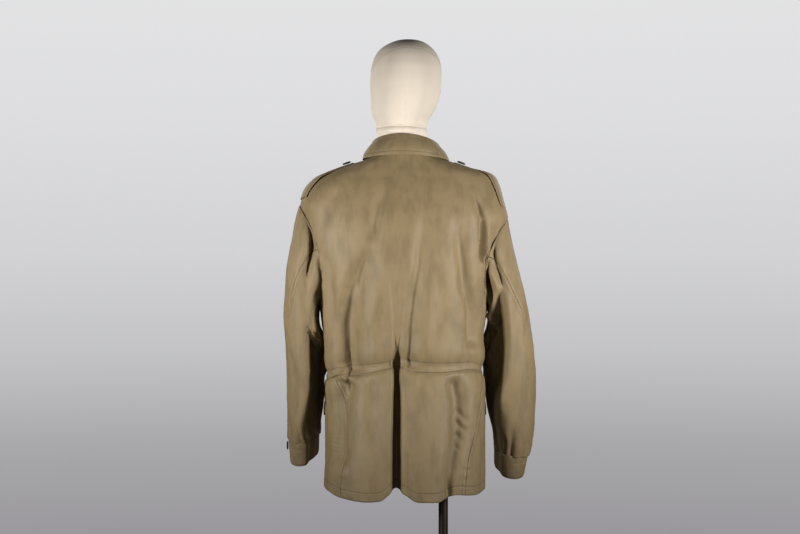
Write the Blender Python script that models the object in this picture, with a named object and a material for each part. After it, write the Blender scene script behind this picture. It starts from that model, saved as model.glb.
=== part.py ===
"""Field jacket worn on a limbless dress form that stands on one pole and a round base.

Metres, +Z up. The jacket's front faces -Y and its wearer's left is +X. The origin is the
centre of the base's underside. Every cloth piece is a thin closed wall: an outer sheet,
the same sheet moved in by the wall, and a rim between them.
"""

import math
from collections import namedtuple

import bpy
import numpy as np

# --- Driving sizes -----------------------------------------------------------
WALL = 0.0016            # body and sleeve cloth
BAND_WALL = 0.0024       # cuffs, collar and straps, which are sewn double
SEAM_GAP = 0.0006        # between two pieces at a seam
HOLE_GAP = 0.0030        # the sleeve head's edge inside the armhole's edge
TAPE_GAP = 0.0018        # the waist tape inside the body wall
SQUARENESS = 2.3         # exponent of the body's oval sections
UNDERARM_Z = 1.210
TIP_Z = {1: 1.434, -1: 1.405}       # shoulder tip height, left (+1) and right (-1)
NECK_Z = 1.5315                     # neck end of both shoulder seams
NECK_RISE_BACK = 0.012              # the neckline at centre back above the shoulder neck point
NECK_DROP_FRONT = 0.036
FRONT_HEM_Z = 0.803
FRONT_OVERLAP = 0.022               # how far each front passes centre front
FRONT_LIFT = 0.0030                 # the upper front lies this much outside the lower one
WAIST_BAND = 0.020                  # drawstring channel, between its two stitch lines
BUTTON_R, BUTTON_T = 0.0095, 0.0034
POLE_X, POLE_R = -0.087, 0.0105
BASE_R, BASE_T = 0.200, 0.008
TORSO_FOOT_Z = 0.868

# Horizontal sections of the jacket's body: half width to each side, half depth back and front.
Section = namedtuple("Section", "z left right back front")
BODY = (
    Section(0.770, 0.177, 0.179, 0.132, 0.128),
    Section(0.860, 0.177, 0.180, 0.130, 0.126),
    Section(0.950, 0.176, 0.180, 0.125, 0.122),
    Section(1.020, 0.175, 0.179, 0.118, 0.116),
    Section(1.075, 0.174, 0.177, 0.110, 0.110),
    Section(1.140, 0.179, 0.177, 0.116, 0.114),
    Section(1.210, 0.187, 0.184, 0.123, 0.121),
    Section(1.300, 0.201, 0.198, 0.128, 0.127),
    Section(1.370, 0.217, 0.218, 0.124, 0.122),
    Section(1.405, 0.225, 0.2287, 0.118, 0.115),
    Section(1.434, 0.231, 0.2215, 0.109, 0.107),
    Section(1.452, 0.2264, 0.216, 0.102, 0.100),
    Section(1.466, 0.220, 0.212, 0.096, 0.094),
    Section(1.481, 0.207, 0.2065, 0.089, 0.088),
    Section(1.493, 0.192, 0.200, 0.083, 0.083),
    Section(1.503, 0.173, 0.184, 0.079, 0.080),
    Section(1.514, 0.147, 0.148, 0.074, 0.078),
    Section(1.524, 0.118, 0.120, 0.070, 0.076),
    Section(1.5315, 0.094, 0.098, 0.067, 0.075),
    Section(1.550, 0.062, 0.064, 0.062, 0.073),
)

# Side seams below the underarm: angle from centre back, in degrees, left and right.
Seam = namedtuple("Seam", "z left right")
SIDE_SEAM = (
    Seam(0.770, 50.0, 43.0),
    Seam(0.865, 46.0, 47.0),
    Seam(0.920, 46.0, 54.0),
    Seam(0.985, 50.0, 65.0),
    Seam(1.070, 63.0, 77.0),
    Seam(1.140, 79.0, 85.0),
    Seam(1.210, 90.0, 90.0),
)

# Armhole: angle from centre back (or from centre front) against height from underarm to tip.
Armhole = namedtuple("Armhole", "t back front")
ARMHOLE = (
    Armhole(0.00, 90.0, 90.0),
    Armhole(0.04, 78.0, 76.0),
    Armhole(0.13, 69.5, 66.0),
    Armhole(0.30, 64.0, 60.0),
    Armhole(0.50, 62.0, 58.0),
    Armhole(0.68, 63.5, 60.0),
    Armhole(0.85, 70.0, 68.0),
    Armhole(0.94, 78.0, 77.0),
    Armhole(1.00, 90.0, 90.0),
)

# Hem height across the back, rising into the middle fold and at the sides.
Hem = namedtuple("Hem", "x z")
HEM = (
    Hem(-0.182, 0.810), Hem(-0.155, 0.803), Hem(-0.112, 0.807), Hem(-0.090, 0.800),
    Hem(-0.072, 0.794), Hem(-0.030, 0.795), Hem(0.000, 0.811), Hem(0.018, 0.822),
    Hem(0.030, 0.813), Hem(0.052, 0.797), Hem(0.085, 0.794), Hem(0.140, 0.800),
    Hem(0.182, 0.815),
)

# The deep fold down the middle of the back: where it runs, half its mouth, its depth.
DeepFold = namedtuple("DeepFold", "z x half depth")
DEEP_FOLD = (
    DeepFold(0.770, 0.0175, 0.0105, 0.030),
    DeepFold(0.900, 0.0175, 0.0090, 0.029),
    DeepFold(1.000, 0.0165, 0.0080, 0.026),
    DeepFold(1.080, 0.0165, 0.0078, 0.020),
    DeepFold(1.150, 0.0145, 0.0075, 0.009),
    DeepFold(1.220, 0.0190, 0.0075, 0.005),
    DeepFold(1.310, 0.0270, 0.0075, 0.000),
)

# Soft folds of the back and the fronts: a trough that runs from its top to its foot.
Fold = namedtuple("Fold", "face x_top z_top x_foot z_foot half depth")
FOLDS = (
    Fold("back", 0.045, 1.480, 0.088, 1.305, 0.013, 0.0060),
    Fold("back", 0.088, 1.305, 0.140, 1.110, 0.014, 0.0085),
    Fold("back", -0.040, 1.430, -0.024, 1.270, 0.012, 0.0055),
    Fold("back", -0.024, 1.270, -0.016, 1.110, 0.013, 0.0070),
    Fold("back", -0.115, 1.400, -0.134, 1.260, 0.011, 0.0060),
    Fold("back", -0.134, 1.260, -0.155, 1.160, 0.011, 0.0060),
    Fold("back", -0.060, 1.040, -0.066, 0.900, 0.015, 0.0050),
    Fold("back", 0.095, 1.040, 0.118, 0.860, 0.016, 0.0060),
    Fold("back", -0.112, 1.030, -0.104, 0.800, 0.014, 0.0060),
    Fold("front", 0.120, 1.380, 0.075, 1.130, 0.015, 0.0060),
    Fold("front", -0.118, 1.370, -0.080, 1.120, 0.015, 0.0060),
    Fold("front", 0.090, 1.040, 0.100, 0.830, 0.016, 0.0060),
    Fold("front", -0.085, 1.040, -0.100, 0.830, 0.016, 0.0060),
)

# Rows of the body panels, from hem to neck.
BODY_ROWS = (
    0.795, 0.840, 0.885, 0.930, 0.975, 1.015, 1.050, 1.080, 1.110, 1.145, 1.180, 1.2095,
    1.2185, 1.240, 1.275, 1.315, 1.355, 1.390, 1.412, 1.434, 1.459, 1.481, 1.498, 1.512,
    1.523, NECK_Z,
)

# Sleeve sections: outer edge, inner edge, half depth front to back, and its middle in Y. Beyond
# the ridge's angle the inner side falls back by the hollow, and its inner edge by the tuck; the
# tilt lowers a ring's back, as the forearm hangs forward.
Arm = namedtuple("Arm", "x_out z_out x_in z_in depth mid_y ridge hollow tuck tilt")
SLEEVE = {
    1: (
        Arm(0.2310, 1.4340, 0.1870, 1.2100, 0.0700, 0.004, 93, 0.000, 0.000, 0.00),
        Arm(0.2460, 1.3920, 0.1915, 1.2050, 0.0730, 0.003, 93, 0.000, 0.000, 0.00),
        Arm(0.2540, 1.3450, 0.1905, 1.1900, 0.0750, 0.001, 94, 0.000, 0.000, 0.00),
        Arm(0.2605, 1.3000, 0.1885, 1.1650, 0.0750, -0.002, 95, 0.000, 0.000, 0.00),
        Arm(0.2655, 1.2450, 0.1840, 1.1350, 0.0730, -0.006, 97, 0.004, 0.004, 0.02),
        Arm(0.2672, 1.2030, 0.1795, 1.1050, 0.0710, -0.010, 97, 0.050, 0.022, 0.05),
        Arm(0.2650, 1.1600, 0.1775, 1.0750, 0.0690, -0.014, 96, 0.058, 0.032, 0.08),
        Arm(0.2620, 1.1100, 0.1785, 1.0450, 0.0670, -0.019, 98, 0.060, 0.034, 0.11),
        Arm(0.2605, 1.0550, 0.1800, 1.0100, 0.0650, -0.024, 96, 0.058, 0.034, 0.14),
        Arm(0.2612, 1.0050, 0.1815, 0.9780, 0.0620, -0.030, 90, 0.056, 0.030, 0.18),
        Arm(0.2612, 0.9650, 0.1850, 0.9520, 0.0600, -0.036, 85, 0.050, 0.025, 0.22),
        Arm(0.2612, 0.9350, 0.1880, 0.9350, 0.0570, -0.042, 91, 0.038, 0.016, 0.26),
        Arm(0.2605, 0.9155, 0.1890, 0.9220, 0.0535, -0.047, 100, 0.020, 0.008, 0.30),
    ),
    -1: (
        Arm(0.2287, 1.4050, 0.1840, 1.2100, 0.0680, 0.004, 90, 0.000, 0.000, 0.00),
        Arm(0.2365, 1.3620, 0.1885, 1.2050, 0.0720, 0.003, 89, 0.000, 0.000, 0.00),
        Arm(0.2450, 1.3220, 0.1880, 1.1880, 0.0740, 0.001, 88, 0.004, 0.002, 0.00),
        Arm(0.2560, 1.2850, 0.1865, 1.1600, 0.0750, -0.002, 87, 0.036, 0.012, 0.01),
        Arm(0.2680, 1.2400, 0.1840, 1.1300, 0.0730, -0.006, 87, 0.054, 0.022, 0.02),
        Arm(0.2775, 1.1980, 0.1800, 1.1000, 0.0710, -0.010, 87, 0.058, 0.030, 0.05),
        Arm(0.2845, 1.1500, 0.1785, 1.0700, 0.0690, -0.014, 91, 0.060, 0.034, 0.08),
        Arm(0.2905, 1.1050, 0.1790, 1.0400, 0.0670, -0.019, 96, 0.060, 0.034, 0.11),
        Arm(0.2940, 1.0550, 0.1830, 1.0050, 0.0650, -0.024, 112, 0.058, 0.034, 0.14),
        Arm(0.2952, 1.0100, 0.1890, 0.9720, 0.0620, -0.030, 126, 0.052, 0.030, 0.18),
        Arm(0.2935, 0.9620, 0.1965, 0.9400, 0.0600, -0.036, 132, 0.044, 0.022, 0.22),
        Arm(0.2900, 0.9180, 0.2015, 0.9120, 0.0570, -0.042, 132, 0.032, 0.014, 0.25),
        Arm(0.2850, 0.8855, 0.2025, 0.8900, 0.0540, -0.047, 122, 0.018, 0.006, 0.28),
    ),
}
# Cuffs go on from the last sleeve section: the same columns, top ring then bottom ring.
CUFF = {
    1: (Arm(0.2600, 0.9145, 0.1900, 0.9210, 0.0530, -0.048, 100, 0.020, 0.008, 0.30),
        Arm(0.2580, 0.8665, 0.1920, 0.8780, 0.0510, -0.058, 100, 0.014, 0.004, 0.38)),
    -1: (Arm(0.2810, 0.8845, 0.2025, 0.8890, 0.0530, -0.048, 122, 0.018, 0.006, 0.28),
         Arm(0.2725, 0.8380, 0.2035, 0.8480, 0.0500, -0.058, 122, 0.012, 0.004, 0.38)),
}
CuffButton = namedtuple("CuffButton", "angle down")
CUFF_BUTTON = {1: CuffButton(14.0, 0.30), -1: CuffButton(318.0, 0.50)}
# Two seams divide each sleeve: the hind seam swings out to the elbow's outer edge.
ArmSeam = namedtuple("ArmSeam", "v hind fore")
SLEEVE_SEAM = (
    ArmSeam(0.00, 86.0, 232.0),
    ArmSeam(0.20, 74.0, 236.0),
    ArmSeam(0.42, 44.0, 240.0),
    ArmSeam(0.58, 26.0, 242.0),
    ArmSeam(1.00, 20.0, 244.0),
)
RIDGE_WIDTH = 16.0
# Columns across a sleeve's under piece, closer at the ridge where the inner side falls back.
UNDER_SHARE = (0.0, 0.15, 0.27, 0.33, 0.38, 0.43, 0.49, 0.56, 0.65, 0.76, 0.88, 1.0)

# Collar: its roll line and its lower edge at the back, the side and the front.
# The tip raises its left side above its right.
Ring = namedtuple("Ring", "half back front z_back z_side z_front tip")
ROLL = Ring(0.0728, 0.0665, 0.0720, 1.5850, 1.5690, 1.5420, 0.055)
LOWER = Ring(0.0950, 0.0815, 0.1100, 1.5440, 1.5370, 1.4880, 0.020)
STAND_FOOT = Ring(0.0785, 0.0605, 0.0725, 1.5480, 1.5370, 1.5010, 0.010)
COLLAR_X = -0.0038

# The dress form: half width, half depth back and front, middle in X.
Form = namedtuple("Form", "z half back front x")
TORSO = (
    Form(0.8680, 0.132, 0.062, 0.080, 0.0), Form(0.8720, 0.146, 0.073, 0.092, 0.0),
    Form(0.8850, 0.153, 0.079, 0.099, 0.0), Form(0.9500, 0.155, 0.081, 0.101, 0.0),
    Form(1.0100, 0.153, 0.080, 0.099, 0.0), Form(1.0700, 0.149, 0.080, 0.093, 0.0),
    Form(1.1500, 0.156, 0.087, 0.098, 0.0), Form(1.2300, 0.168, 0.098, 0.106, 0.0),
    Form(1.3000, 0.179, 0.104, 0.110, 0.0), Form(1.3600, 0.193, 0.102, 0.106, 0.0),
    Form(1.4050, 0.204, 0.094, 0.097, 0.0), Form(1.4350, 0.206, 0.086, 0.089, 0.0),
    Form(1.4600, 0.199, 0.078, 0.080, 0.0), Form(1.4780, 0.186, 0.071, 0.073, 0.0),
    Form(1.4930, 0.163, 0.064, 0.066, 0.0), Form(1.5060, 0.128, 0.059, 0.062, 0.000),
    Form(1.5180, 0.090, 0.056, 0.059, 0.000), Form(1.5300, 0.068, 0.0545, 0.057, 0.001),
    Form(1.5450, 0.059, 0.0540, 0.0560, 0.002), Form(1.5650, 0.0560, 0.0550, 0.0550, 0.0030),
    Form(1.5900, 0.0555, 0.0580, 0.0530, 0.0055), Form(1.6020, 0.0555, 0.0605, 0.0520, 0.0060),
)
HEAD = (
    Form(1.6025, 0.0555, 0.0610, 0.0520, 0.0060), Form(1.6160, 0.0575, 0.0650, 0.0580, 0.0060),
    Form(1.6340, 0.0665, 0.0740, 0.0720, 0.0040), Form(1.6560, 0.0735, 0.0820, 0.0850, -0.0005),
    Form(1.6800, 0.0775, 0.0880, 0.0950, -0.0030), Form(1.7050, 0.0790, 0.0910, 0.1000, -0.0035),
    Form(1.7300, 0.0785, 0.0890, 0.0980, -0.0050), Form(1.7520, 0.0740, 0.0820, 0.0900, -0.0055),
    Form(1.7700, 0.0655, 0.0710, 0.0780, -0.0055), Form(1.7830, 0.0530, 0.0570, 0.0630, -0.0065),
    Form(1.7920, 0.0390, 0.0410, 0.0460, -0.0085), Form(1.7975, 0.0240, 0.0250, 0.0280, -0.0090),
    Form(1.7995, 0.0110, 0.0115, 0.0125, -0.0090),
)

BUTTON_HEIGHTS = (0.870, 0.975, 1.080, 1.190, 1.300, 1.410)

COLOURS = {
    "jacket_sateen": (0.246, 0.205, 0.122, 1.0),
    "form_jersey": (0.745, 0.690, 0.600, 1.0),
    "button_resin": (0.065, 0.055, 0.045, 1.0),
    "pole_steel": (0.100, 0.085, 0.070, 1.0),
    "base_paint": (0.045, 0.043, 0.041, 1.0),
}


# --- Curves through the tables -----------------------------------------------
def column(rows, name):
    return np.array([getattr(row, name) for row in rows], float)


def curve(x, rows, across, name):
    """A smooth curve through a table's column, with no overshoot between its rows."""
    xs, ys = column(rows, across), column(rows, name)
    step = np.diff(xs)
    slope = np.diff(ys) / step
    tangent = np.zeros_like(ys)
    tangent[0], tangent[-1] = slope[0], slope[-1]
    same = slope[:-1] * slope[1:] > 0
    w1, w2 = 2 * step[1:] + step[:-1], step[1:] + 2 * step[:-1]
    with np.errstate(divide="ignore", invalid="ignore"):
        mean = (w1 + w2) / (w1 / slope[:-1] + w2 / slope[1:])
    tangent[1:-1] = np.where(same, mean, 0.0)
    x = np.clip(np.asarray(x, float), xs[0], xs[-1])
    i = np.clip(np.searchsorted(xs, x, side="right") - 1, 0, len(step) - 1)
    t = (x - xs[i]) / step[i]
    return ((1 + 2 * t) * (1 - t) ** 2 * ys[i] + t * (1 - t) ** 2 * step[i] * tangent[i]
            + t * t * (3 - 2 * t) * ys[i + 1] + t * t * (t - 1) * step[i] * tangent[i + 1])


def ease(x):
    x = np.clip(x, 0.0, 1.0)
    return x * x * (3 - 2 * x)


def signed_power(value, power):
    return np.sign(value) * np.abs(value) ** power


# --- The jacket's body surface ------------------------------------------------
def half_width(x_side, z):
    return np.where(x_side >= 0, curve(z, BODY, "z", "left"), curve(z, BODY, "z", "right"))


def fold_depth(x, z, is_back):
    """How far the folds push the cloth in at a place on the body."""
    depth = np.zeros_like(x)
    for fold in FOLDS:
        length = fold.z_top - fold.z_foot
        down = (fold.z_top - z) / length
        middle = fold.x_top + (fold.x_foot - fold.x_top) * down
        ends = ease((down + 0.18) / 0.36) * ease((1.18 - down) / 0.36)
        here = fold.depth * np.exp(-((x - middle) / fold.half) ** 2) * ends
        depth += np.where(is_back == (fold.face == "back"), here, 0.0)
    across = np.abs(x - curve(z, DEEP_FOLD, "z", "x")) / curve(z, DEEP_FOLD, "z", "half")
    mouth = 1 - ease((across - 0.70) / 0.75)
    return depth + np.where(is_back, curve(z, DEEP_FOLD, "z", "depth") * mouth, 0.0)


def body_point(angle, z):
    """The jacket's outer surface: angle in degrees from centre back towards the left side."""
    sine, cosine = np.sin(np.radians(angle)), np.cos(np.radians(angle))
    a = half_width(sine, z)
    is_back = cosine >= 0
    b = np.where(is_back, curve(z, BODY, "z", "back"), curve(z, BODY, "z", "front"))
    x = a * signed_power(sine, 2 / SQUARENESS)
    y = b * signed_power(cosine, 2 / SQUARENESS)
    nx = signed_power(x / a, SQUARENESS - 1) / a
    ny = signed_power(y / b, SQUARENESS - 1) / b
    length = np.hypot(nx, ny)
    depth = fold_depth(x, z, is_back)
    return np.stack([x - depth * nx / length, y - depth * ny / length, z + 0 * x], axis=-1)


def with_normals(surface, u, v, du, dv):
    """Points of a surface and their unit normals, both worked out from the surface itself."""
    along = surface(u + du, v) - surface(u - du, v)
    up = surface(u, v + dv) - surface(u, v - dv)
    normal = np.cross(up, along)
    normal /= np.maximum(np.linalg.norm(normal, axis=-1, keepdims=True), 1e-12)
    return surface(u, v), normal


def angle_at_x(x, z, front):
    """The angle at which the surface is at a distance x from the middle plane."""
    share = np.clip(np.abs(x) / half_width(np.sign(x) + 0 * z, z), 0, 1)
    turn = np.degrees(np.arcsin(share ** (SQUARENESS / 2))) * np.sign(x)
    return 180.0 - turn if front else turn


def edge_angle(z, side, face):
    """Where a panel ends at its side: side seam, then armhole, then shoulder seam."""
    name = "left" if side > 0 else "right"
    seam = curve(z, SIDE_SEAM, "z", name)
    t = (z - UNDERARM_Z) / (TIP_Z[side] - UNDERARM_Z)
    hole = curve(t, ARMHOLE, "t", face)
    if face == "front":
        hole = 180.0 - hole
    hole = np.where(t > 1, 90.0, hole)
    return np.where(z < UNDERARM_Z, seam, hole)


def side_gap(z, side):
    """Half the seam gap as an angle."""
    return np.degrees(SEAM_GAP / 2 / (0.75 * half_width(side + 0 * z, z)))


def panel_heights(rows, angle):
    """Row heights, with the hem's waves and the neckline's rise and drop worked in."""
    z = np.array(rows)[:, None] + 0 * angle
    x = body_point(angle, z)[..., 0]
    cosine = np.cos(np.radians(angle))
    back_hem = curve(x, HEM, "x", "z")
    blend = np.abs(cosine) ** 0.6
    hem = np.where(cosine > 0, back_hem, FRONT_HEM_Z + (back_hem - FRONT_HEM_Z) * (1 - blend))
    z = z + (hem - rows[0]) * (1 - ease((z - rows[0]) / 0.16))
    neck = np.where(cosine > 0, NECK_RISE_BACK, -NECK_DROP_FRONT) * np.abs(cosine) ** 1.5
    return z + neck * ease((z - 1.41) / (NECK_Z - 1.41))


DEEP_COLUMNS = (-2.3, -1.45, -1.1, -0.75, 0.0, 0.75, 1.1, 1.45, 2.3)


def back_angles(z):
    """Column angles of the back's row, gathered close at the deep fold."""
    left, right = edge_angle(z, 1, "back"), edge_angle(z, -1, "back")
    left, right = left - side_gap(z, 1), right - side_gap(z, -1)
    fold_x = curve(z, DEEP_FOLD, "z", "x")
    half = curve(z, DEEP_FOLD, "z", "half")
    near = [float(angle_at_x(fold_x + k * half, z, False)) for k in DEEP_COLUMNS]
    low = -right + (near[0] + right) * np.linspace(0, 1, 11)[:-1]
    high = near[-1] + (left - near[-1]) * np.linspace(0, 1, 10)[1:]
    return np.concatenate([low, near, high])


def front_angles(z, side, columns):
    start = float(edge_angle(z, side, "front") + side_gap(z, side))
    end_x = -side * FRONT_OVERLAP
    end = float(angle_at_x(np.array(end_x), z, True))
    end = end if side > 0 else 360.0 - end
    angles = start + (end - start) * np.linspace(0, 1, columns)
    return angles * side


def front_lift(points, side):
    """The left front lies outside the right one near centre front."""
    if side < 0:
        return np.zeros(points.shape[:-1])
    return FRONT_LIFT * ease((0.075 - points[..., 0]) / 0.04)


# --- Sleeves ------------------------------------------------------------------
def armhole_point(angle, side):
    """The armhole's edge: 0 at the shoulder tip, 90 behind, 180 at the underarm."""
    t = (1 + np.cos(np.radians(angle))) / 2
    z = UNDERARM_Z + (TIP_Z[side] - UNDERARM_Z) * t
    behind = np.sin(np.radians(angle)) >= 0
    turn = np.where(behind, curve(t, ARMHOLE, "t", "back"), 180 - curve(t, ARMHOLE, "t", "front"))
    return body_point(turn * side, z)


def sleeve_point(angle, v, side):
    """The sleeve's outer surface: angle as at the armhole, v from 0 there to 1 at the cuff."""
    rows = SLEEVE[side]
    place = [SleevePlace(i / (len(rows) - 1), *row) for i, row in enumerate(rows)]
    return tube_point(angle, v, side, place, True)


SleevePlace = namedtuple("SleevePlace", ("v", *Arm._fields))


def tube_point(angle, v, side, place, from_armhole):
    value = {k: curve(v, place, "v", k) for k in Arm._fields}
    cosine, sine = np.cos(np.radians(angle)), np.sin(np.radians(angle))
    across = (1 + signed_power(cosine, 0.9)) / 2
    x = value["x_in"] + (value["x_out"] - value["x_in"]) * across
    z = value["z_in"] + (value["z_out"] - value["z_in"]) * across
    y = value["depth"] * signed_power(sine, 0.9)
    turn = angle % 360
    fall = ease((turn - value["ridge"]) / RIDGE_WIDTH) * value["hollow"]
    fall = fall + (value["tuck"] - value["hollow"]) * ease((turn - 140) / 40)
    y = y - fall * (1 - ease((turn - 180) / 65))
    z = z - value["tilt"] * y
    y = y + value["mid_y"]
    point = np.stack([side * x, y, z], axis=-1)
    if not from_armhole:
        return point
    hole = armhole_point(angle, side)
    centre = np.array([side * 0.205, 0.004, (UNDERARM_Z + TIP_Z[side]) / 2])
    inward = centre - hole
    hole = hole + inward / np.linalg.norm(inward, axis=-1, keepdims=True) * HOLE_GAP
    share = ease(v / 0.27)[..., None]
    return hole * (1 - share) + point * share


def sleeve_angles(v, upper, share):
    hind, fore = curve(v, SLEEVE_SEAM, "v", "hind"), curve(v, SLEEVE_SEAM, "v", "fore")
    gap = 0.45
    start, end = (fore + gap, hind + 360 - gap) if upper else (hind + gap, fore - gap)
    return start + (end - start) * np.asarray(share)[None, :]


# --- Solids -------------------------------------------------------------------
def material(name):
    found = bpy.data.materials.get(name) or bpy.data.materials.new(name)
    found.use_nodes = True
    shader = found.node_tree.nodes["Principled BSDF"]
    shader.inputs["Base Color"].default_value = COLOURS[name]
    found.diffuse_color = COLOURS[name]
    metal = name == "pole_steel"
    shader.inputs["Metallic"].default_value = 1.0 if metal else 0.0
    shader.inputs["Roughness"].default_value = 0.35 if metal else 0.8
    return found


def solid(name, points, faces, slot):
    """One closed mesh with its faces outward, shaded smooth."""
    points = np.asarray(points, float)
    volume = 0.0
    for face in faces:
        for i in range(1, len(face) - 1):
            a, b, c = points[face[0]], points[face[i]], points[face[i + 1]]
            volume += float(np.dot(a, np.cross(b, c)))
    if volume < 0:
        faces = [tuple(reversed(face)) for face in faces]
    mesh = bpy.data.meshes.new(name)
    mesh.from_pydata([tuple(p) for p in points], [], faces)
    mesh.validate()
    mesh.update()
    for polygon in mesh.polygons:
        polygon.use_smooth = True
    mesh.materials.append(material(slot))
    made = bpy.data.objects.new(name, mesh)
    bpy.context.scene.collection.objects.link(made)
    return made


def wall(name, outer, inner, slot, round_it=False):
    """A closed wall between two grids of points; round_it joins the last column to the first."""
    rows, columns = outer.shape[:2]
    count = rows * columns
    points = np.concatenate([outer.reshape(-1, 3), inner.reshape(-1, 3)])
    last = columns if round_it else columns - 1
    faces = []
    for i in range(rows - 1):
        for j in range(last):
            k = (j + 1) % columns
            a, b, c, d = i * columns + j, i * columns + k, (i + 1) * columns + k, (i + 1) * columns + j
            # Both layers are split along the outer one's shorter diagonal, so they stay parallel.
            if np.linalg.norm(points[a] - points[c]) > np.linalg.norm(points[b] - points[d]):
                a, b, c, d = b, c, d, a
            faces += [(a, b, c), (a, c, d), (a + count, c + count, b + count),
                      (a + count, d + count, c + count)]
    for j in range(last):
        k = (j + 1) % columns
        top = (rows - 1) * columns
        faces += [(k, j, j + count, k + count),
                  (top + j, top + k, top + k + count, top + j + count)]
    if not round_it:
        for i in range(rows - 1):
            a, d = i * columns, (i + 1) * columns
            b, c = a + columns - 1, d + columns - 1
            faces += [(a, d, d + count, a + count), (c, b, b + count, c + count)]
    return solid(name, points, faces, slot)


def rings(name, loops, slot):
    """A full solid through closed loops of points, closed flat at both ends."""
    loops = np.asarray(loops)
    rows, columns = loops.shape[:2]
    faces = [tuple(reversed(range(columns)))]
    for i in range(rows - 1):
        for j in range(columns):
            k = (j + 1) % columns
            faces.append((i * columns + j, i * columns + k, (i + 1) * columns + k, (i + 1) * columns + j))
    faces.append(tuple((rows - 1) * columns + j for j in range(columns)))
    return solid(name, loops.reshape(-1, 3), faces, slot)


def disc(name, centre, axis, radius, thick, slot, sides=16):
    """A button: a disc with a bevelled rim, its back at centre and its face along axis."""
    axis = np.asarray(axis, float) / np.linalg.norm(axis)
    side = np.cross(axis, [0.0, 0.0, 1.0] if abs(axis[2]) < 0.9 else [1.0, 0.0, 0.0])
    side /= np.linalg.norm(side)
    other = np.cross(axis, side)
    turn = 2 * math.pi * np.arange(sides) / sides
    loops = []
    for share, height in ((0.96, 0.0), (1.0, 0.65), (0.84, 1.0)):
        loops.append(np.asarray(centre) + axis * thick * height
                     + radius * share * (np.cos(turn)[:, None] * side + np.sin(turn)[:, None] * other))
    return rings(name, loops, slot)


# --- Building the pieces ------------------------------------------------------
def build_body():
    z_rows = list(BODY_ROWS)
    angles = np.array([back_angles(z) for z in z_rows])
    heights = panel_heights(z_rows, angles)
    points, normals = with_normals(body_point, angles, heights, 0.05, 0.0005)
    wall("back", points, points - WALL * normals, "jacket_sateen")
    for side, name in ((1, "front_left"), (-1, "front_right")):
        angles = np.array([front_angles(z, side, 11) for z in z_rows])
        heights = panel_heights(z_rows, angles)
        points, normals = with_normals(body_point, angles, heights, 0.05, 0.0005)
        points = points + normals * front_lift(points, side)[..., None]
        wall(name, points, points - WALL * normals, "jacket_sateen")


def build_front_buttons():
    for i, z in enumerate(BUTTON_HEIGHTS, 1):
        points, normals = with_normals(body_point, np.array([180.0]), np.array([z]), 0.05, 0.0005)
        lift = FRONT_LIFT + 0.0006
        disc(f"button_front_{i}", points[0] + normals[0] * lift, normals[0],
             BUTTON_R, BUTTON_T, "button_resin")


def build_waist_tape():
    """The channel's tape inside the waist, one length each side of the deep fold."""
    for side, name in ((1, "waist_tape_left"), (-1, "waist_tape_right")):
        z = 1.073
        near = float(angle_at_x(np.array(0.0165 + side * 0.022), z, False))
        far = side * 172.0
        angles = np.linspace(near, far, 24)[None, :] + np.zeros((2, 1))
        middle = z + 0.010 * np.exp(-(np.abs(angles) / 40.0) ** 2) - 0.012 * (angles > 60)
        heights = middle + np.array([[-0.5], [0.5]]) * WAIST_BAND
        points, normals = with_normals(body_point, angles, heights, 0.05, 0.0005)
        outer = points - normals * (WALL + TAPE_GAP)
        wall(name, outer, outer - normals * 0.0010, "jacket_sateen")


def build_sleeves():
    levels = np.array([0.0, 0.05, 0.11, 0.18, 0.26, 0.34, 0.42, 0.50, 0.58, 0.67, 0.76, 0.86, 0.94, 1.0])
    v = levels[:, None]
    for side, word in ((1, "left"), (-1, "right")):
        def surface(angle, place):
            return sleeve_point(angle, place, side)
        for upper, part, share in ((True, "upper", np.linspace(0, 1, 15)), (False, "under", UNDER_SHARE)):
            angles = sleeve_angles(v, upper, share)
            places = v + 0 * angles
            points = surface(angles, places)
            around = surface(angles + 0.5, places) - surface(angles - 0.5, places)
            down = (surface(angles, np.minimum(places + 0.01, 1.0))
                    - surface(angles, np.maximum(places - 0.01, 0.0)))
            normals = np.cross(down, around) * side
            normals /= np.linalg.norm(normals, axis=-1, keepdims=True)
            wall(f"sleeve_{word}_{part}", points, points - WALL * normals, "jacket_sateen")
        place = [SleevePlace(i, *row) for i, row in enumerate(CUFF[side])]
        angles = np.linspace(0, 360, 29)[None, :-1] + np.zeros((3, 1))
        places = np.array([[0.0], [0.5], [1.0]]) + 0 * angles
        outer = tube_point(angles, places, side, place, False)
        around = tube_point(angles + 0.5, places, side, place, False) - tube_point(
            angles - 0.5, places, side, place, False)
        normals = np.stack([around[..., 1], -around[..., 0], 0 * around[..., 0]], axis=-1) * side
        normals /= np.linalg.norm(normals, axis=-1, keepdims=True)
        wall(f"cuff_{word}", outer, outer - BAND_WALL * normals, "jacket_sateen", round_it=True)
        at, near = np.array([[CUFF_BUTTON[side].angle]]), np.array([[CUFF_BUTTON[side].down]])
        spot = tube_point(at, near, side, place, False)[0, 0]
        turn = tube_point(at + 0.5, near, side, place, False)[0, 0] - spot
        away = np.array([turn[1], -turn[0], 0.0]) * side
        away /= np.linalg.norm(away)
        disc(f"button_cuff_{word}", spot + away * 0.0012, away, 0.0080, 0.0030, "button_resin")


def ring_point(angle, ring):
    """A point of a collar ring; it tips from its height at the back down to its front."""
    sine, cosine = np.sin(np.radians(angle)), np.cos(np.radians(angle))
    depth = np.where(cosine >= 0, ring.back, ring.front)
    share = np.abs(cosine) ** 1.6
    end = np.where(cosine >= 0, ring.z_back, ring.z_front)
    x = COLLAR_X + ring.half * signed_power(sine, 0.92)
    z = ring.z_side + (end - ring.z_side) * share + ring.tip * x
    return np.stack([x, depth * signed_power(cosine, 0.92), z], axis=-1)


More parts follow.
